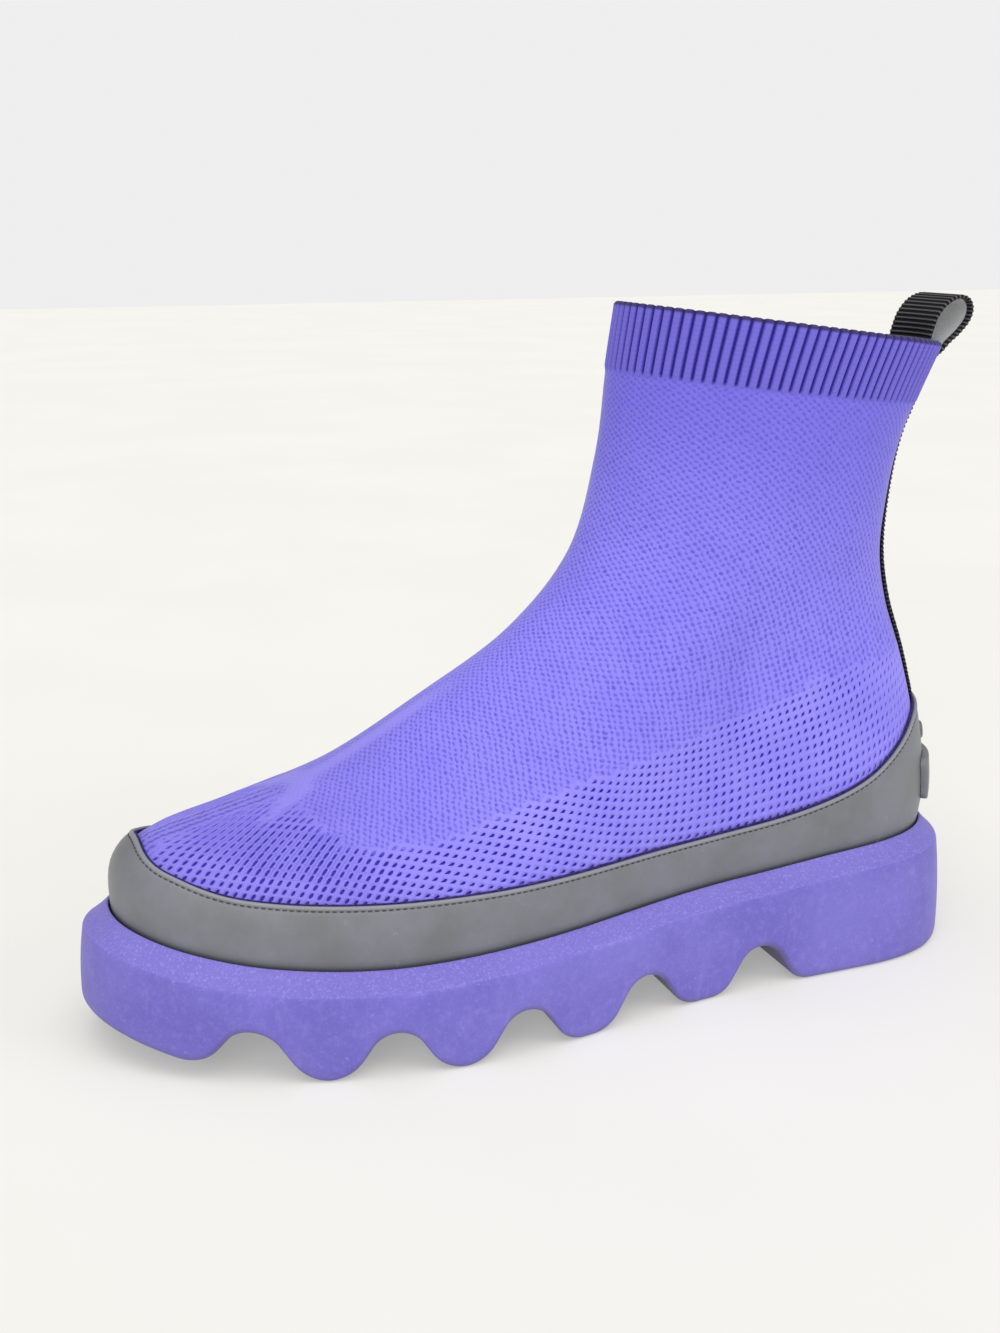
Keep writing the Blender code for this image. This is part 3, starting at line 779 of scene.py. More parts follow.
# Chart of the open mesh: wales and courses counted over the foot. Each row of a table holds the powers
# of the place along the foot, the rows the powers of the height.
CHART_WALE = (
    (0.0, 50.5, 4.3, 17.91, -1.92, -10.4),
    (2.22, 12.13, 11.79, -7.61, -9.1),
    (0.02, 4.93, 1.92, -4.26),
)
CHART_COURSE = (
    (0.0, -6.71, -8.86, 4.3, 5.65, 1.12),
    (11.34, 3.05, -7.86, -5.58, 7.14),
    (0.63, -2.69, -3.02, 3.16),
)
CHART_MIDDLE = (0.13, 0.03)
CHART_REACH = (0.15, 0.03)


def chart_count(angle, rise):
    """Wale and course of the open mesh at a point, counted from the middle of the side."""
    u, v = stitch_count(angle, rise)
    along = np.clip((u - CHART_MIDDLE[0]) / CHART_REACH[0], -1.05, 0.97)
    up = np.clip((v - CHART_MIDDLE[1]) / CHART_REACH[1], -1.1, 1.2)
    counts = []
    for table in (CHART_WALE, CHART_COURSE):
        rows = [np.polynomial.polynomial.polyval(along, row) for row in table]
        counts.append(rows[0] + up * rows[1] + up * up * rows[2])
    return counts


# Every half wale and half course is looked up on the foot. Stitches with both numbers even are eyelets.
RIM = ((-1, -1), (0, -1), (1, -1), (1, 0), (1, 1), (0, 1), (-1, 1), (-1, 0))
# Steps round and up that give the slopes of the chart, the most that one try may move a stitch, and
# how near it has to come
CHART_TURN = 0.002
CHART_LIFT = 0.01
TURN_LIMIT = 0.05
LIFT_LIMIT = 0.2
FOUND_WITHIN = 0.03
# How far outside the mesh stitches are still looked for, and kept, and how far eyelets go under the rand
MESH_NEAR = 0.005
MESH_EDGE = 0.0045
EYELETS_UNDER = 0.0016
near_angle, near_rise = np.meshgrid(
    np.linspace(0.01, math.pi - 0.03, 420), np.linspace(0.2, 6.0, 200), indexing="ij"
)
near_depth = mesh_depth(last_point(near_angle, near_rise), near_angle, *stitch_count(near_angle, near_rise))
near_angle = near_angle[near_depth > -MESH_NEAR]
near_rise = near_rise[near_depth > -MESH_NEAR]
near_wale, near_course = chart_count(near_angle, near_rise)
first_p = 2 * math.floor(near_wale.min()) - 2
first_q = 2 * math.floor(near_course.min()) - 2
half_p, half_q = np.meshgrid(
    np.arange(first_p, 2 * math.ceil(near_wale.max()) + 3),
    np.arange(first_q, 2 * math.ceil(near_course.max()) + 3),
    indexing="ij",
)
tree = KDTree(near_wale.size)
for index, (wale, course) in enumerate(zip(near_wale, near_course)):
    tree.insert((wale, course, 0.0), index)
tree.balance()
nearest = np.array([tree.find((p / 2, q / 2, 0.0))[1] for p, q in zip(half_p.ravel(), half_q.ravel())])
found_angle = near_angle[nearest].reshape(half_p.shape)
found_rise = near_rise[nearest].reshape(half_p.shape)
for _ in range(8):
    wale, course = chart_count(found_angle, found_rise)
    turned_wale, turned_course = chart_count(found_angle + CHART_TURN, found_rise)
    lifted_wale, lifted_course = chart_count(found_angle, found_rise + CHART_LIFT)
    wale_turn = (turned_wale - wale) / CHART_TURN
    wale_lift = (lifted_wale - wale) / CHART_LIFT
    course_turn = (turned_course - course) / CHART_TURN
    course_lift = (lifted_course - course) / CHART_LIFT
    both = wale_turn * course_lift - wale_lift * course_turn
    both = np.where(np.abs(both) < 1.0, 1.0, both)
    miss_p = half_p / 2 - wale
    miss_q = half_q / 2 - course
    turn = np.clip((course_lift * miss_p - wale_lift * miss_q) / both, -TURN_LIMIT, TURN_LIMIT)
    lift = np.clip((wale_turn * miss_q - course_turn * miss_p) / both, -LIFT_LIMIT, LIFT_LIMIT)
    found_angle = np.clip(found_angle + turn, 0.004, math.pi - 0.01)
    found_rise = np.clip(found_rise + lift, 0.05, 9.0)
wale, course = chart_count(found_angle, found_rise)
net_point = last_point(found_angle, found_rise)
net_u, net_v = stitch_count(found_angle, found_rise)
net_inside = mesh_depth(net_point, found_angle, net_u, net_v)
found = np.hypot(wale - half_p / 2, course - half_q / 2) < FOUND_WITHIN
found &= net_inside > -MESH_EDGE
net_eyelet = found & (net_inside > 0.0) & (net_point[..., 2] > rand_height(found_angle) - EYELETS_UNDER)
net_eyelet &= (np.mod(half_p, 2) == 0) & (np.mod(half_q, 2) == 0)


def neighbours(table, reach):
    """A table of the stitches as it stands at the eight places around, this many halves away."""
    return [np.roll(table, (reach * step_p, reach * step_q), axis=(0, 1)) for step_p, step_q in RIM]


rim_ready = np.all(neighbours(found, 1), axis=0)
net_eyelet &= rim_ready & np.all(neighbours(rim_ready, 2), axis=0)
closed = np.any(neighbours(net_eyelet, 2), axis=0) & ~net_eyelet & rim_ready
eyelet_edge = np.any(neighbours(net_eyelet, 1), axis=0)
eyelet_share = net_eyelet[::2, ::2].astype(float)

# Soft folds of the knit: start, end, how deep and how wide
FOLDS = (
    ((0.0565, 0.0290, 0.0905), (0.0290, 0.0200, 0.0960), 0.0009, 0.0022),
    ((0.0600, 0.0295, 0.0860), (0.0400, 0.0260, 0.0900), -0.0004, 0.0040),
)


def fold_depth(point):
    depth = np.zeros(point.shape[:-1])
    for start, end, deep, wide in FOLDS:
        start = np.array(start)
        line = np.array(end) - start
        share = np.clip((point - start) @ line / (line @ line), 0.0, 1.0)
        off = np.linalg.norm(point - start - share[..., None] * line, axis=-1)
        ends = smoothstep(0.0, 0.25, share) * (1.0 - smoothstep(0.75, 1.0, share))
        depth += deep * np.exp(-((off / wide) ** 2)) * (0.25 + 0.75 * ends)
    return depth


# Rows of the cuff, closer together where its ribs begin and at the collar
CUFF_RISES = (
    8.93, 8.96, 8.99, 9.02, 9.05, 9.09, 9.14, 9.22, 9.32, 9.44, 9.56, 9.68, 9.78, 9.86, 9.91, 9.95, 9.98,
)
knit_angles = even_angles(lambda angle: last_point(angle, CUFF + 0.5), RIBS * RIB_COLUMNS)
rib_phase = np.mod(np.arange(len(knit_angles)) / RIB_COLUMNS, 1.0)
from_groove = np.minimum(rib_phase, 1.0 - rib_phase)
rib_shape = 1.0 - np.exp(-((from_groove / 0.19) ** 2)) - 0.16 * np.exp(-(((from_groove - 0.5) / 0.08) ** 2))
edge_rise = rand_rise(knit_angles)
knit_rise = [edge_rise * share for share in (0.0, 0.3, 0.6, 0.85)]
for share in np.linspace(0.0, 1.0, 60)[:-1]:
    knit_rise.append(edge_rise * 0.97 * (1.0 - share) + (CUFF - 0.10) * share)
knit_rise += [np.full_like(knit_angles, rise) for rise in CUFF_RISES]
knit_rise = np.array(knit_rise)
angle_grid = np.broadcast_to(knit_angles, knit_rise.shape)
on_last = last_point(angle_grid, knit_rise)
depth_in_mesh = mesh_depth(on_last, angle_grid, *stitch_count(angle_grid, knit_rise))
count_u, count_v = dense_count(angle_grid, knit_rise)
wale, course = chart_count(angle_grid, knit_rise)
wales = np.arange(eyelet_share.shape[0]) + first_p / 2
courses = np.arange(eyelet_share.shape[1]) + first_q / 2
backing = smoothstep(0.5, 0.95, in_table(eyelet_share, wales, courses, wale, course))
backing *= smoothstep(0.0, 0.0010, depth_in_mesh)
in_cuff = smoothstep(*CUFF_EDGE, knit_rise)
rib = 1.0 - in_cuff * (1.0 - rib_shape)
out = in_cuff * CUFF_STEP - BACKING_DEPTH * backing - RIB_DEPTH * (1.0 - rib) + RIB_SWELL * in_cuff
out = out - fold_depth(on_last)
knit_points = on_last + out[..., None] * last_normal(angle_grid, knit_rise)
roll_rows = []
for turn in np.radians((30.0, 55.0, 75.0, 95.0, 120.0, 150.0, 180.0)):
    side = (CUFF_STEP - WALL) / 2.0 + (CUFF_STEP + WALL) / 2.0 * np.cos(turn)
    groove = RIB_DEPTH * (1.0 - rib_shape) * max(math.cos(turn) * 1.1, 0.0)
    row = off_last(knit_angles, COLLAR, side - groove)
    row[:, 2] += (COLLAR_ROLL - RIB_NOTCH * (1.0 - rib_shape)) * math.sin(turn)
    roll_rows.append(row)
roll_rows += [off_last(knit_angles, rise, -WALL) for rise in (9.90, 9.75)]
knit_points = np.concatenate([knit_points, np.array(roll_rows)])
on_roll = np.zeros((len(roll_rows), len(knit_angles)))
further = 0.001 * np.arange(1, len(roll_rows) + 1)[:, None]
count = np.stack([
    np.concatenate([count_u, on_roll + count_u[-1]]),
    np.concatenate([count_v, count_v[-1] - further]),
    np.concatenate([backing, on_roll]),
], axis=-1)
band = np.stack([
    np.concatenate([rib, on_roll + rib_shape]),
    np.concatenate([in_cuff, on_roll + 1.0]),
    np.concatenate([smoothstep(*COLLAR_EDGE, knit_rise), on_roll + 1.0]),
], axis=-1)
plain = np.concatenate([plain_share(angle_grid, knit_rise), on_roll])
knit = laid_grid("sock_knit", knit_points, (("stitch", count), ("band", band), ("plain", plain)))

# Pattern of the yarn in metres, round the sock and along it, and where the toe's grooves take over
DOT_ROUND = 0.0030
DOT_ALONG = 0.00184
GROOVE_ROUND = 0.0032
GROOVE_ALONG = 0.0022
GROOVES_FROM = (0.188, 0.200)
RIB_COURSE = 0.00135
# Painted shade: darker below the cuff, where the knit leans out of the light, greyer from here to the toe
CUFF_SHADE_TO = (0.015, 0.070)
TOE_SHADE_FROM = (0.01, 0.09)
VIOLET = colour(142, 132, 241)
VIOLET_DOT = colour(96, 86, 200)
VIOLET_DEEP = colour(70, 54, 202)


def knit_finish(name):
    """Yarn of the sock: staggered light loops with darker gaps between them, and a soft nap."""
    made = Finish(name, 0.85, Specular_IOR_Level=0.12, Sheen_Weight=0.26, Sheen_Roughness=0.35)
    stitch = made.mark_parts("stitch")
    u = stitch["X"] + (made.noise(360.0, 3.0, 0.6) - 0.5) * 0.0026
    v = stitch["Y"] + (made.noise(410.0, 3.0, 0.6) - 0.5) * 0.0018
    round_turn = u * (math.tau / DOT_ROUND)
    along_turn = v * (math.tau / DOT_ALONG)
    dots = (round_turn + along_turn).cosine() * 0.42 + (round_turn - along_turn).cosine() * 0.58
    groove_turn = u * (math.tau / GROOVE_ROUND)
    grooves = groove_turn.cosine() * 0.7 + (groove_turn + v * (math.tau / GROOVE_ALONG)).cosine() * 0.3
    on_toe = stitch["Y"].between(*GROOVES_FROM)
    plain = made.mark("plain")
    loops = (dots * (1.0 - on_toe) + grooves * on_toe) * (1.0 - plain * 0.45) - plain * 0.25
    yarn = made.noise(2200.0, 3.0, 0.6)
    cloudy = made.noise(45.0, 3.0, 0.5)
    uneven = made.noise(520.0, 2.0, 0.6)
    shade = (0.15 + uneven * 1.3) * (1.0 + on_toe * 0.6)
    cuff_shade = 1.0 - stitch["Y"].between(*CUFF_SHADE_TO)
    base = made.coats(
        VIOLET,
        (loops.between(-0.25, 0.95) * shade, VIOLET_DOT),
        (cloudy.between(0.4, 0.75) * 0.16, VIOLET_DOT),
        # Painted shade below the cuff
        (cuff_shade * 0.56, colour(102, 93, 210)),
        # Pale band: plain knit, and a painted highlight along the fold at the toe and the front ridge
        (plain * 0.50, colour(164, 154, 250)),
        (yarn.between(0.45, 0.8) * 0.18, colour(158, 148, 248)),
    )
    return made, stitch, base, loops, yarn, cloudy


def shaded_toward_toe(made, base):
    """The yarn greyer and darker toward the toe, as painted shade."""
    toeward = made.parts(made.place())["X"].between(*TOE_SHADE_FROM)
    # Painted shade toward the toe
    return made.mix(toeward * 0.24, base, colour(112, 100, 170))


sock_knit, stitch, base, loops, yarn, cloudy = knit_finish("sock_knit")
band_mark = sock_knit.mark_parts("band")
rib_courses = (stitch["Y"] * (math.tau / RIB_COURSE)).cosine()
# Painted shade: the grooves between the cuff's ribs are painted deep violet
rib_base = sock_knit.coats(
    sock_knit.mix(band_mark["X"].between(0.05, 0.85), colour(40, 32, 136), colour(116, 106, 209)),
    (rib_courses.between(0.2, 1.0) * 0.10, colour(86, 76, 174)),
    (yarn.between(0.5, 0.8) * 0.20, colour(124, 114, 216)),
)
base = sock_knit.coats(
    base,
    (band_mark["Y"], rib_base),
    (stitch["Z"], VIOLET_DEEP),
    (band_mark["Z"] * 0.85, colour(46, 39, 78)),
)
relief = yarn * 0.35 - loops * 0.40 * (1.0 - band_mark["Y"]) - rib_courses * 0.12 * band_mark["Y"]
sock_knit.wear(shaded_toward_toe(sock_knit, base), 0.80 + yarn * 0.15, relief, strength=0.55, distance=0.00035)
dress(knit, sock_knit, "knit", "upper")


# Open mesh
# The same yarn knitted with slanted eyelets over the side and heel, drawn out into slits between ridges
# over the toe. Each stitch is a puffed cell around its hole; along the upper edge a row of closed
# stitches goes over into the dense knit.
COMMA = np.array((
    (-0.15, -0.13), (0.02, -0.18), (0.34, -0.21), (0.19, 0.00),
    (0.10, 0.15), (-0.03, 0.25), (-0.19, 0.23), (-0.23, 0.04),
))
DASH = np.array((
    (-0.15, -0.18), (0.03, -0.31), (0.15, -0.21), (0.18, 0.00),
    (0.13, 0.20), (-0.03, 0.33), (-0.17, 0.22), (-0.19, 0.00),
))
SLIT = np.array((
    (-0.15, -0.34), (0.00, -0.45), (0.15, -0.34), (0.18, 0.00),
    (0.15, 0.33), (0.00, 0.45), (-0.15, 0.34), (-0.18, 0.00),
))
RIDGE = np.array((
    (-0.32, -0.49), (0.00, -0.48), (0.32, -0.49), (0.33, 0.00),
    (0.32, 0.49), (0.00, 0.48), (-0.32, 0.49), (-0.33, 0.00),
))
# Levels over the knit: puffed yarn, lip and floor of a hole, outer edge, slit groove, closed stitch
PUFF = 0.00014
HOLE_LIP = 0.00006
HOLE_FLOOR = -0.00062
EDGE_LEVEL = -0.00025
SLIT_SUNK = 0.00035
CLOSED_SUNK = 0.00002
# Where the holes change along the foot or up from the rand, from not at all to wholly
DASHES_FROM = (0.185, 0.215)
SLITS_FROM = (0.202, 0.218)
SLITS_OVER_RAND = (0.0035, 0.0075)
# The pointed field on the vamp has no slits; painted shade darkens the yarn at the rand and toward the toe
POINT_UP = (0.0290, 0.0325)
POINT_TO = (0.2325, 0.2370)
DARK_RAND = (-0.0006, 0.0006)
DARK_TOE = (0.195, 0.235)
net_spots = []
net_stitch = []
net_plain = []
net_faces = []


def new_piece(name, spots, faces, marks=()):
    """A smooth piece made of points and faces, left selected."""
    mesh = bpy.data.meshes.new(name)
    mesh.from_pydata((np.asarray(spots) + HEEL).tolist(), [], faces)
    put_marks(mesh, marks)
    piece = bpy.data.objects.new(name, mesh)
    bpy.context.scene.collection.objects.link(piece)
    bpy.ops.object.select_all(action="DESELECT")
    piece.select_set(True)
    bpy.context.view_layer.objects.active = piece
    bpy.ops.object.shade_smooth()
    return piece


def net_spot(spot, stitch, plain=0.0):
    """Add a point with its marks and give its number."""
    net_spots.append(spot)
    net_stitch.append(stitch)
    net_plain.append(plain)
    return len(net_spots) - 1


def net_face(side, *corners):
    """Add a face that looks outward on either side of the foot."""
    net_faces.append(corners if side > 0.0 else corners[::-1])


for side in (1.0, -1.0):
    angle = found_angle if side > 0.0 else math.tau - found_angle
    point = last_point(angle, found_rise)
    normal = last_normal(angle, found_rise)
    point = point - fold_depth(point)[..., None] * normal
    along = np.roll(point, -1, axis=0) - np.roll(point, 1, axis=0)
    upward = np.roll(point, -1, axis=1) - np.roll(point, 1, axis=1)
    over_rand = point[..., 2] - rand_height(angle)
    in_point = smoothstep(*POINT_UP, net_v) * (1.0 - smoothstep(*POINT_TO, net_u))
    slits = smoothstep(*SLITS_FROM, net_u) * smoothstep(*SLITS_OVER_RAND, over_rand) * (1.0 - in_point)
    level = np.where(eyelet_edge, PUFF, EDGE_LEVEL) - SLIT_SUNK * slits
    crest = point + level[..., None] * normal
    # Painted shade: dark in the gap under the rand's edge, toward the toe, and along the slit grooves
    dark = 0.6 - 0.6 * smoothstep(*DARK_RAND, over_rand)
    dark = np.maximum(dark, 0.12 * smoothstep(*DARK_TOE, net_u))
    dark = np.maximum(dark, 0.50 * slits)
    plain_here = plain_share(angle, found_rise)
    count_here = np.stack(dense_count(angle, found_rise), axis=-1)
    rim_spots = {}
    for p, q in np.argwhere(net_eyelet | closed):
        rim = []
        for step_p, step_q in RIM:
            key = (p + step_p, q + step_q)
            if key not in rim_spots:
                stitch = (*count_here[key], dark[key] - (not eyelet_edge[key]))
                rim_spots[key] = net_spot(crest[key], stitch, plain_here[key])
            rim.append(rim_spots[key])
        if closed[p, q]:
            sunk = point[p, q] - CLOSED_SUNK * normal[p, q]
            middle = net_spot(sunk, (*count_here[p, q], -1.0), plain_here[p, q])
            for k in range(8):
                net_face(side, rim[k], rim[(k + 1) % 8], middle)
            continue
        toeward = float(smoothstep(*DASHES_FROM, net_u[p, q]))
        slit = float(slits[p, q])
        outline = COMMA * (1.0 - toeward) + DASH * toeward
        outline = outline * (1.0 - slit) + SLIT * slit
        swell = 1.08 + 0.08 * slit + 0.16 * toeward * (1.0 - slit)
        swell = swell + 0.10 * math.sin(p * 12.9898 + q * 78.233) + 0.14 * float(in_point[p, q]) * toeward
        outline = outline * swell * (1.0, 1.0 - 0.09 * slit)
        # Painted shade: the lip and the floor of each hole are darkened toward the deep violet
        rings = [
            (outline, HOLE_LIP, 0.12 + 0.12 * toeward),
            (outline * 0.72 + (-0.014, 0.028), HOLE_FLOOR, 1.0 - 0.22 * slit),
        ]
        if slit > 0.05:
            rings.insert(0, (RIDGE, PUFF, 0.05))
        inner = rim
        for shape, up, tone in rings:
            outer = inner
            inner = []
            for x, y in shape:
                spot = point[p, q] + along[p, q] * x + upward[p, q] * y + normal[p, q] * up
                inner.append(net_spot(spot, (0.0, 0.0, tone)))
            for k in range(8):
                after = (k + 1) % 8
                net_face(side, outer[k], outer[after], inner[after], inner[k])
net = new_piece(
    "open_mesh", net_spots, net_faces, (("stitch", np.array(net_stitch)), ("plain", np.array(net_plain)))
)
open_knit, stitch, dense_base, loops, yarn, cloudy = knit_finish("open_mesh_knit")
dense = (stitch["Z"] * -1.0).between(0.0, 1.0)
base = open_knit.coats(
    open_knit.mix(cloudy.between(0.3, 0.7), colour(148, 138, 241), colour(139, 129, 235)),
    (dense, dense_base),
    (yarn.between(0.4, 0.8) * 0.30, colour(162, 152, 250)),
    # Painted shade from the marks: at the rand, toward the toe, along the grooves and down the holes
    (stitch["Z"].between(0.0, 1.0), VIOLET_DEEP),
)
relief = yarn * 0.6 - loops * dense * 0.4
open_knit.wear(shaded_toward_toe(open_knit, base), 0.80 + yarn * 0.15, relief, strength=0.45, distance=0.0003)
dress(net, open_knit, "knit", "upper")


# Lining
# A thin dark jersey that lines the sock from the insole up to the turned collar. It is glued to the
# inside of the knit and follows it all the way.
lining_angles = np.linspace(0.0, math.tau, 181)[::-1]
lining_rises = np.concatenate([np.linspace(0.0, CUFF, 37), (9.3, 9.6, 9.82)])
lining = laid_grid("sock_lining", off_last(lining_angles, lining_rises[:, None], -WALL))
jersey = Finish("lining_jersey", 0.92, Sheen_Weight=0.25, Sheen_Roughness=0.5)
loopy = jersey.noise(1300.0, 3.0, 0.6)
patch = jersey.noise(70.0, 3.0, 0.5)
base = jersey.coats(
    jersey.mix(patch.between(0.35, 0.7), colour(44, 37, 86), colour(58, 50, 108)),
    (loopy.between(0.45, 0.8) * 0.5, colour(86, 77, 142)),
)
jersey.wear(base, height=loopy, strength=0.5, distance=0.0004)
dress(lining, jersey, "knit", "upper")


# Rand
# A strip of coated cloth glued around the foot of the sock, with a rolled upper edge and one row of
# dark stitches below it. Satin grey with a fine grain, painted paler on the roll as a highlight and
# darker at its foot as painted shade.
RAND_THICKNESS = 0.0018
GAP = 0.0003
RAND_FACE = GAP + RAND_THICKNESS
RAND_COLUMNS = 660
RAND_TURN_IN = 0.004
# Rolled edge, from the flat face on: how far below the upper edge, how far out from the face
RAND_ROLL = (
    (0.0032, 0.0), (0.0026, -0.00002), (0.0022, -0.00014), (0.0019, -0.00028), (0.0016, -0.00022),
    (0.0013, 0.00004), (0.0010, 0.00020), (0.0006, 0.00024), (0.0003, 0.00014), (0.00006, -0.00014),
    (0.0, -0.0005), (0.0002, -0.0009), (0.0006, -0.0014), (0.0010, -0.0018),
)
rand_angles = even_angles(lambda angle: last_point(angle, 1.0), RAND_COLUMNS)
rand_top = rand_rise(rand_angles)
rand_length = np.linalg.norm(last_point(rand_angles, rand_top) - last_point(rand_angles, 0.0), axis=1)


def rand_row(below, out):
    """A row this far below the rand's upper edge, measured along its face."""
    rise = rand_top * (1.0 - np.minimum(below / rand_length, 1.0))
    return off_last(rand_angles, rise, out)


ledge_height = crease_height(length_share(rand_angles)) + LEDGE_RISE
face_rises = [np.zeros_like(rand_angles)]
for up in (-0.0008, 0.0003, 0.0012, 0.0026):
    face_rises.append(rise_at_height(rand_angles, ledge_height + up, 4.0))
face_low = face_rises[-1]
face_high = rand_top * (1.0 - RAND_ROLL[0][0] / rand_length)
for share in np.linspace(0.0, 1.0, 9)[1:-1]:
    face_rises.append(face_low * (1.0 - share) + face_high * share)
rand_rows = [off_last(rand_angles, 0.0, GAP)]
rand_rows += [off_last(rand_angles, rise, RAND_FACE) for rise in face_rises]
rand_rows += [rand_row(below, RAND_FACE + out) for below, out in RAND_ROLL]
rand_rows.append(rand_row(RAND_TURN_IN, GAP))
rand_points = np.array(rand_rows)
# The roll: painted highlight along the rolled edge
rolled = row_mark(rand_points, len(rand_rows) - 11, (0.1, 0.5, 0.9, 1.0, 1.0, 0.8, 0.4, 0.1))
# Foot of the rand: painted shade where it meets the ledge
foot = row_mark(rand_points, 0, (1.0, 1.0, 1.0, 0.9, 0.35, 0.05))
rand = laid_grid("coated_rand", rand_points, (("roll", rolled), ("foot", foot)))
coating = Finish("rand_coating", 0.42, Specular_IOR_Level=0.5, Coat_Weight=0.12, Coat_Roughness=0.35)
grain = coating.noise(1900.0, 3.0, 0.6)
smudge = coating.noise(55.0, 4.0, 0.6)
scuff = coating.noise(140.0, 6.0, 0.75).between(0.62, 0.75)
base = coating.coats(
    coating.mix(smudge.between(0.3, 0.7), colour(109, 110, 113), colour(120, 122, 130)),
    # Painted highlight on the roll
    (coating.mark("roll") * 0.6, colour(148, 148, 156)),
    # Painted shade along the foot of the rand
    (coating.mark("foot") * 0.8, colour(52, 50, 58)),
    (scuff * 0.30, colour(165, 166, 174)),
)
coating.wear(base, 0.36 + smudge * 0.22, grain * 0.6 + smudge * 0.4, strength=0.22, distance=0.0004)
dress(rand, coating, "rand_coating", "rand")


# Stitches of the rand
# Short capsules of dark waxed thread, sewn through the strip in the groove below its rolled edge. One
# stitch is modelled and laid all the way round, its faces sorted because they come in no fixed order.
STITCHES = 310
THREAD_HALF_LENGTH = 0.00072
THREAD_RADIUS = 0.00018
# The seam: how far below the edge and into the face, step that gives its way, share of the rand's rise
# at which its outward side is taken
SEAM_BELOW = 0.0018
SEAM_SUNK = 0.00014
SEAM_STEP = 0.0005
SEAM_SHARE = 0.9
bpy.ops.object.select_all(action="DESELECT")
bpy.ops.mesh.primitive_uv_sphere_add(segments=6, ring_count=4, radius=1.0)
one_stitch = bpy.context.active_object
stitch_shape = np.array([vert.co[:] for vert in one_stitch.data.vertices])
stitch_polys = sorted(tuple(poly.vertices) for poly in one_stitch.data.polygons)
bpy.data.objects.remove(one_stitch)
seam_line = rand_row(SEAM_BELOW, RAND_FACE - SEAM_SUNK)
seam_walk = walk_along(seam_line)
sewn_at = (np.arange(STITCHES) + 0.5) * seam_walk[-1] / STITCHES
middles = spots_along(sewn_at, seam_walk, seam_line)
thread_way = unit(spots_along(sewn_at + SEAM_STEP, seam_walk, seam_line) - middles)
seam_angle = np.interp(sewn_at, seam_walk, rand_angles)
thread_out = last_normal(seam_angle, rand_rise(seam_angle) * SEAM_SHARE)
thread_side = np.cross(thread_out, thread_way)
stitch_spots = (
    middles[:, None]
    + thread_way[:, None] * stitch_shape[:, 2:3] * THREAD_HALF_LENGTH
    + thread_side[:, None] * stitch_shape[:, 0:1] * THREAD_RADIUS
    + thread_out[:, None] * stitch_shape[:, 1:2] * THREAD_RADIUS
)
stitch_faces = []
for k in range(STITCHES):
    first = k * len(stitch_shape)
    stitch_faces += [[first + corner for corner in poly] for poly in stitch_polys]
rand_stitches = new_piece("rand_stitches", stitch_spots.reshape(-1, 3), stitch_faces)
thread = Finish("rand_thread", 0.6, Specular_IOR_Level=0.4)
twist = thread.noise(3000.0, 2.0, 0.5)
base = thread.mix(twist.between(0.35, 0.7), colour(48, 48, 52), colour(76, 76, 80))
thread.wear(base, height=twist, strength=0.4, distance=0.0002)
dress(rand_stitches, thread, "rand_coating", "rand")


# Binding of the rand
# The dark edge of the strip's backing cloth, a thin round line between its rolled edge and the knit, its
# dark colour also painted shade for the gap there. It is glued on with the strip.
BINDING_RADIUS = 0.00044
# How far over the edge and out from the knit it runs, and the step in rise that gives its way up
BINDING_OVER = 0.0001
BINDING_OUT = 0.0006
BINDING_STEP = 0.05
binding_middle = rand_row(-BINDING_OVER, GAP + BINDING_OUT)
binding_up = unit(last_point(rand_angles, rand_top + BINDING_STEP) - last_point(rand_angles, rand_top))
binding_out = last_normal(rand_angles, rand_top)
binding_rows = []
for turn in np.linspace(0.0, math.tau, 9):
    way = math.sin(turn) * binding_up + math.cos(turn) * binding_out
    binding_rows.append(binding_middle + BINDING_RADIUS * way)
binding = laid_grid("rand_binding", np.array(binding_rows))
cloth_edge = Finish("rand_backing", 0.9, Specular_IOR_Level=0.2)
fray = cloth_edge.noise(1200.0, 3.0, 0.6)
# Dark backing cloth, dark also as painted shade of the gap
base = cloth_edge.mix(fray.between(0.35, 0.7), colour(34, 26, 78), colour(66, 56, 122))
cloth_edge.wear(base, height=fray, strength=0.5)
dress(binding, cloth_edge, "rand_coating", "rand")


# Heel tab
# A small moulded pad on the back of the rand and a smaller tip above it, both of coated rubber with a
# rounded rim and a plain face. They are glued on.
TAB_BASE = RAND_FACE + 1.5 * GAP
TAB_RIM = 0.0008
TAB_SUNK = 0.0003
back_rises = np.linspace(0.0, 6.0, 400)
back_heights = last_point(math.pi, back_rises)[:, 2]


def angle_at(rise, y):
    """Angle near the middle back at which the knit has this y."""
    def is_below(angle):
        return last_point(angle, rise)[..., 1] > y

    shape = np.broadcast_shapes(np.shape(rise), np.shape(y))
    return halved(np.full(shape, math.radians(95.0)), np.full(shape, math.radians(265.0)), is_below)


def tab_pad(name, low, high, half, corner, thick):
    """A pad with rounded corners and a rounded rim on the back of the rand."""
    rows = []
    for z in low + (high - low) * length_share(np.linspace(math.pi, 0.0, 25)):
        from_end = min(z - low, high - z)
        into = np.clip(corner - from_end, 0.0, corner)
        reach = half - corner + math.sqrt(corner ** 2 - into ** 2)
        y = reach * np.cos(np.linspace(0.0, math.pi, 41))
        rise = np.interp(z, back_heights, back_rises)
        from_rim = np.minimum(reach - np.abs(y), from_end)
        up = np.sqrt(np.maximum(1.0 - (1.0 - np.minimum(from_rim / TAB_RIM, 1.0)) ** 2, 0.0))
        rows.append(off_last(angle_at(rise, y), rise, TAB_BASE - TAB_SUNK + (thick + TAB_SUNK) * up))
    return laid_grid(name, np.array(rows))


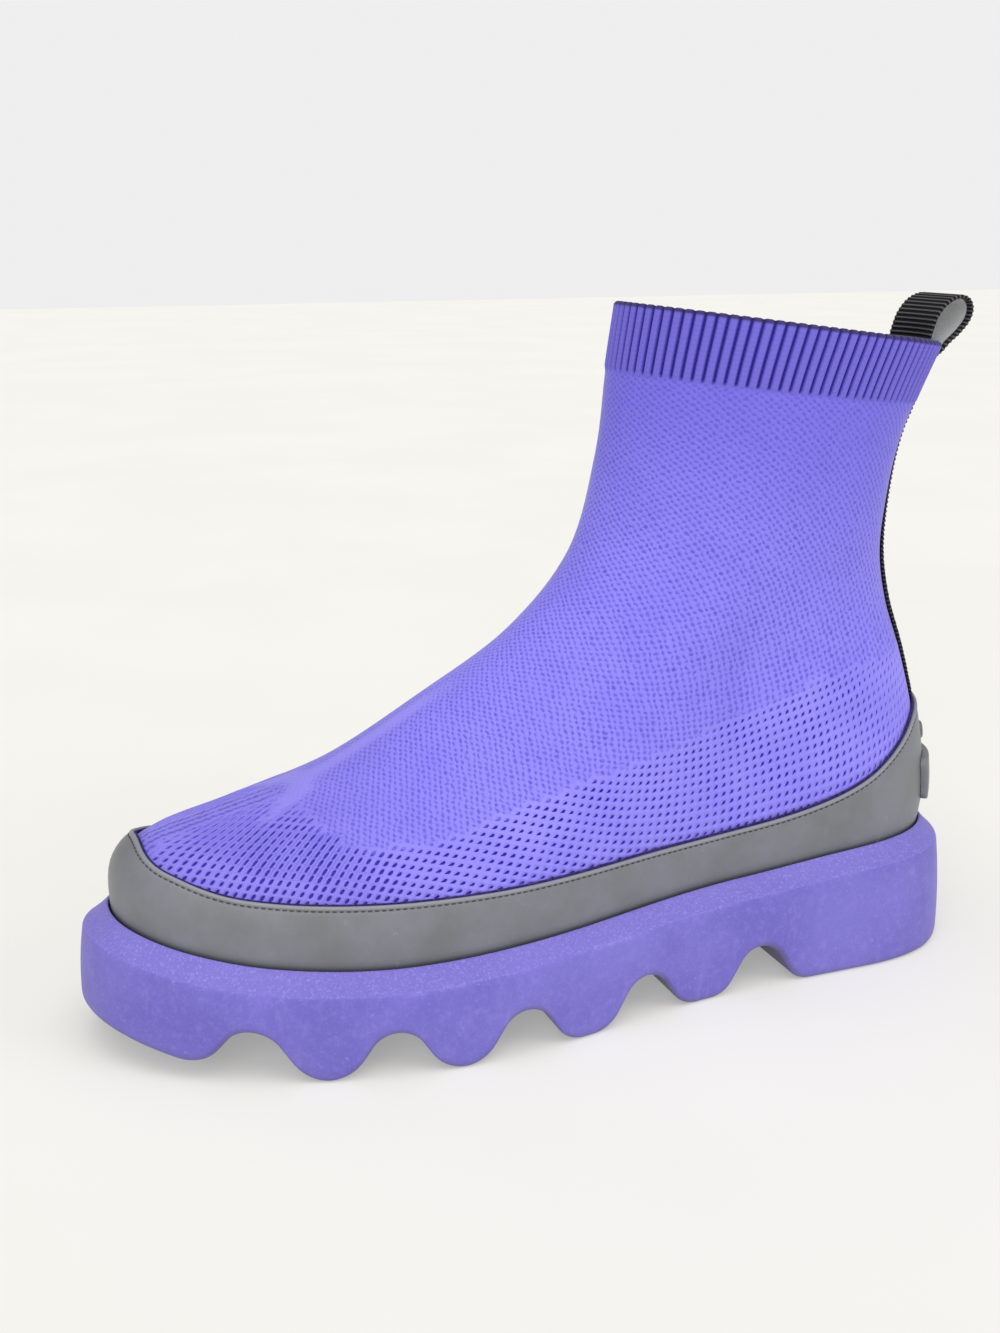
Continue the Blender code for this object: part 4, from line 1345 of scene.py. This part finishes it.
tab = tab_pad("heel_tab_pad", low=0.0470, high=0.0620, half=0.0208, corner=0.0030, thick=0.0018)
tab_tip = tab_pad("heel_tab_tip", low=0.0632, high=0.0700, half=0.0100, corner=0.0028, thick=0.0014)
tab_finish = Finish("heel_tab_coating", 0.38, Specular_IOR_Level=0.5, Coat_Weight=0.15, Coat_Roughness=0.3)
grain = tab_finish.noise(1700.0, 3.0, 0.6)
smudge = tab_finish.noise(80.0, 4.0, 0.6)
base = tab_finish.mix(smudge.between(0.3, 0.7), colour(96, 97, 102), colour(116, 117, 122))
tab_finish.wear(base, 0.32 + smudge * 0.2, grain, strength=0.15, distance=0.0003)
dress(tab, tab_finish, "heel_tab_coating", "heel_tab")
dress(tab_tip, tab_finish, "heel_tab_coating", "heel_tab")


# Back tape
# A black woven tape with ribs across it, 21 mm wide. It is sewn over the back seam of the sock, from the
# peak of the rand up to the cuff.
TAPE_WIDTH = 0.021
TAPE_THICKNESS = 0.0012
TAPE_RIB = 0.0015
TAPE_RIB_DEPTH = 0.00055
TAPE_FOOT = 0.04
TAPE_TOP = 9.17
TAPE_COLUMNS = 15
TAPE_MIDDLE = TAPE_COLUMNS // 2
# Shares of its length over which it steps onto the cuff, and of its width where the ribs run out
TAPE_ON_CUFF = (0.88, 0.95)
TAPE_FLAT_EDGE = (0.40, 0.5)
tape_across = np.linspace(0.5, -0.5, TAPE_COLUMNS) * TAPE_WIDTH
foot_rise = rand_rise(math.pi)
for _ in range(12):
    foot_rise = rand_rise(angle_at(foot_rise, tape_across))
foot_rise = foot_rise + TAPE_FOOT


def tape_section(outer, inner):
    """Closed section of a tape: its outer face, one edge, the inner face back, the other edge."""
    middle = (outer + inner) / 2.0
    edge_a = middle[:, :1] + (outer[:, :1] - outer[:, 1:2]) * 0.25
    edge_b = middle[:, -1:] + (outer[:, -1:] - outer[:, -2:-1]) * 0.25
    return np.concatenate([outer, edge_b, inner[:, ::-1], edge_a, outer[:, :1]], axis=1)


def tape_ribs(walk):
    """Ribs across a tape along its length: 0 in the grooves, 1 on the ribs."""
    return 0.5 - 0.5 * np.cos(walk / TAPE_RIB * math.tau)


def tape_finish(name):
    """Black weave, painted shade in the grooves and a painted highlight on the ribs; gives its colour and
    fibre.
    """
    made = Finish(name, 0.75, Specular_IOR_Level=0.22)
    fibre = made.noise(2600.0, 3.0, 0.6)
    worn = made.noise(120.0, 4.0, 0.6)
    base = made.coats(
        # Painted highlight on the ribs' crests, painted shade in the grooves
        made.mix(made.mark("rib").between(0.52, 1.0), colour(2, 2, 3), colour(98, 96, 100)),
        (fibre.between(0.55, 0.8) * 0.26, colour(60, 58, 62)),
        (worn.between(0.58, 0.75) * 0.15, colour(78, 76, 80)),
    )
    return made, base, fibre


tape_share = np.linspace(0.0, 1.0, 240)
tape_rises = foot_rise * (1.0 - tape_share[:, None]) + TAPE_TOP * tape_share[:, None]
tape_angles = angle_at(tape_rises, tape_across)
tape_rib = tape_ribs(walk_along(last_point(math.pi, tape_rises[:, TAPE_MIDDLE])))
tape_step = (CUFF_STEP * smoothstep(*TAPE_ON_CUFF, tape_share) + GAP)[:, None]
flat_edge = 1.0 - smoothstep(*TAPE_FLAT_EDGE, np.abs(tape_across) / TAPE_WIDTH)
tape_relief = -TAPE_RIB_DEPTH * (1.0 - tape_rib)[:, None] * (0.9 + 0.1 * flat_edge)
outer = off_last(tape_angles, tape_rises, tape_step + TAPE_THICKNESS + tape_relief)
inner = off_last(tape_angles, tape_rises, tape_step)
tape_points = tape_section(outer, inner)
tape = laid_grid("back_seam_tape", tape_points[:, ::-1], (("rib", row_mark(tape_points, 0, tape_rib)),))
woven, base, fibre = tape_finish("tape_weave")
woven.wear(base, 0.6 + fibre * 0.3, fibre, strength=0.4, distance=0.0003)
dress(tape, woven, "tape", "back_tape")


# Pull loop
# The same kind of tape folded into a loop over the back of the collar, both ends sewn to the cuff. Its
# outside is black, its inside is left a pale grey.
LOOP_BACK = (-0.0031, -0.0028, -0.0016, 0.0014, 0.0056, 0.0092, 0.0108, 0.0100, 0.0072, 0.0040, 0.0019)
LOOP_UP = (0.0012, 0.0048, 0.0090, 0.0128, 0.0146, 0.0138, 0.0108, 0.0072, 0.0036, 0.0006, -0.0022)
LOOP_RIB_DEPTH = 0.00035
LOOP_SEWN = np.linspace(9.20, 9.80, 16)[:, None]
collar_back = last_point(math.pi, float(TOP_RING))
bow_radius = LAST[-1, 6] ** 2 / ((LAST[-1, 0] - LAST[-1, 2]) / 2.0)
places = np.arange(len(LOOP_BACK), dtype=float)
free = np.linspace(0.0, len(LOOP_BACK) - 1, 170)
loop_x = collar_back[0] - smooth_through(places, LOOP_BACK, free)
loop_z = collar_back[2] + smooth_through(places, LOOP_UP, free)
half_way = (len(LOOP_BACK) - 1) / 2.0
bow = (np.abs(free - half_way) / half_way) ** 2
bowed_x = loop_x[:, None] + bow[:, None] * tape_across ** 2 / (2.0 * bow_radius)
loop_middle = np.stack(np.broadcast_arrays(bowed_x, tape_across, loop_z[:, None]), axis=-1)
loop_normal = unit(np.stack([-np.gradient(loop_z), np.zeros_like(free), np.gradient(loop_x)], axis=-1))
half_tape = loop_normal[:, None] * TAPE_THICKNESS / 2.0


def loop_face(inside, free_part, outside):
    """One face of the loop: sewn inside the cuff, free over the collar, sewn outside the cuff."""
    angles = angle_at(LOOP_SEWN, tape_across)
    return np.concatenate([
        off_last(angles, LOOP_SEWN, inside), free_part, off_last(angles, LOOP_SEWN, outside)[::-1],
    ])


outer = loop_face(-WALL - GAP - TAPE_THICKNESS, loop_middle - half_tape, CUFF_STEP + GAP + TAPE_THICKNESS)
inner = loop_face(-WALL - GAP, loop_middle + half_tape, CUFF_STEP + GAP)
loop_walk = walk_along(outer[:, TAPE_MIDDLE])
even = np.linspace(0.0, loop_walk[-1], 330)
outer = spots_along(even, loop_walk, outer)
inner = spots_along(even, loop_walk, inner)
loop_rib = tape_ribs(even)
outer = outer - unit(outer - inner) * (LOOP_RIB_DEPTH * (1.0 - loop_rib))[:, None, None]
loop_points = tape_section(outer, inner)
inside = np.zeros(loop_points.shape[:2])
inside[:, TAPE_COLUMNS + 3:2 * TAPE_COLUMNS - 1] = 1.0
loop_marks = (("rib", row_mark(loop_points, 0, loop_rib)), ("inside", inside))
loop = laid_grid("pull_loop_tape", loop_points, loop_marks)
loop_weave, base, fibre = tape_finish("loop_weave")
pale = loop_weave.mix(fibre.between(0.35, 0.75), colour(205, 206, 207), colour(236, 237, 237))
base = loop_weave.mix(loop_weave.mark("inside").between(0.4, 0.6), base, pale)
loop_weave.wear(base, 0.5 + fibre * 0.3, fibre, strength=0.4, distance=0.0003)
dress(loop, loop_weave, "loop_tape", "pull_loop")


# Studio
# A pale floor under even light: a bright sky all round, a broad light from above and two soft fills. The
# floor gives off a little light of its own, as in a bright room, so that its shadows stay pale.
WHITE = (1.0, 1.0, 1.0, 1.0)
FLOOR_GLOW = (1.0, 1.0, 0.97, 1.0)
FLOOR_GLOW_POWER = 0.30
SKY_LIGHT = 0.46
SKY_SEEN = 0.86
# Name, spread in degrees, power, place and aim of each light
LIGHTS = (
    ("top_light", 56.0, 1.30, (0.15, 0.35, 1.5), (0.0, 0.0, 0.05)),
    ("front_light", 41.0, 0.98, (0.7, 1.25, 0.8), (0.0, 0.0, 0.1)),
    ("side_light", 35.0, 0.51, (-1.0, 0.9, 0.8), (0.0, 0.0, 0.1)),
)
bpy.ops.object.select_all(action="DESELECT")
bpy.ops.mesh.primitive_plane_add(size=8.0)
floor = bpy.context.active_object
floor.name = "studio_floor"
paint = Finish(
    "studio_floor", 0.8, Specular_IOR_Level=0.2,
    Emission_Color=FLOOR_GLOW, Emission_Strength=FLOOR_GLOW_POWER,
)
tone = paint.noise(6.0, 3.0, 0.5)
paint.wear(paint.mix(tone.between(0.3, 0.7), colour(203, 201, 195), colour(200, 198, 192)))
floor.data.materials.append(paint.material)

world = bpy.data.worlds.new("soft_light")
bpy.context.scene.world = world
world.use_nodes = True
sky = world.node_tree
light_sky = sky.nodes["Background"]
light_sky.inputs["Color"].default_value = WHITE
light_sky.inputs["Strength"].default_value = SKY_LIGHT
seen_sky = add_node(sky, "ShaderNodeBackground", Color=WHITE, Strength=SKY_SEEN)["Background"]
seen = add_node(sky, "ShaderNodeLightPath")["Is Camera Ray"]
either = add_node(
    sky, "ShaderNodeMixShader", Fac=seen, Shader=Grade(light_sky.outputs[0]), Shader_001=seen_sky
)
plug(sky.nodes["World Output"].inputs["Surface"], either["Shader"])
for name, spread, power, stand, aim in LIGHTS:
    light_data = bpy.data.lights.new(name, "SUN")
    light_data.angle = math.radians(spread)
    light_data.energy = power
    light = bpy.data.objects.new(name, light_data)
    bpy.context.scene.collection.objects.link(light)
    light.location = stand
    x, y, z = np.subtract(stand, aim)
    light.rotation_euler = (math.atan2(math.hypot(x, y), z), 0.0, math.atan2(x, -y))

# Camera: a 43 mm lens, a little above the boot and in front of its outer side
bpy.context.scene.view_settings.view_transform = "Standard"
camera_data = bpy.data.cameras.new("photo_camera")
camera_data.sensor_width = 36.0
camera_data.lens = 43.21
camera_data.clip_start = 0.01
camera = bpy.data.objects.new("photo_camera", camera_data)
bpy.context.scene.collection.objects.link(camera)
camera.location = (0.18865, 0.43700, 0.23520)
camera.rotation_euler = (math.radians(74.26), 0.0, math.radians(158.2))
bpy.context.scene.camera = camera
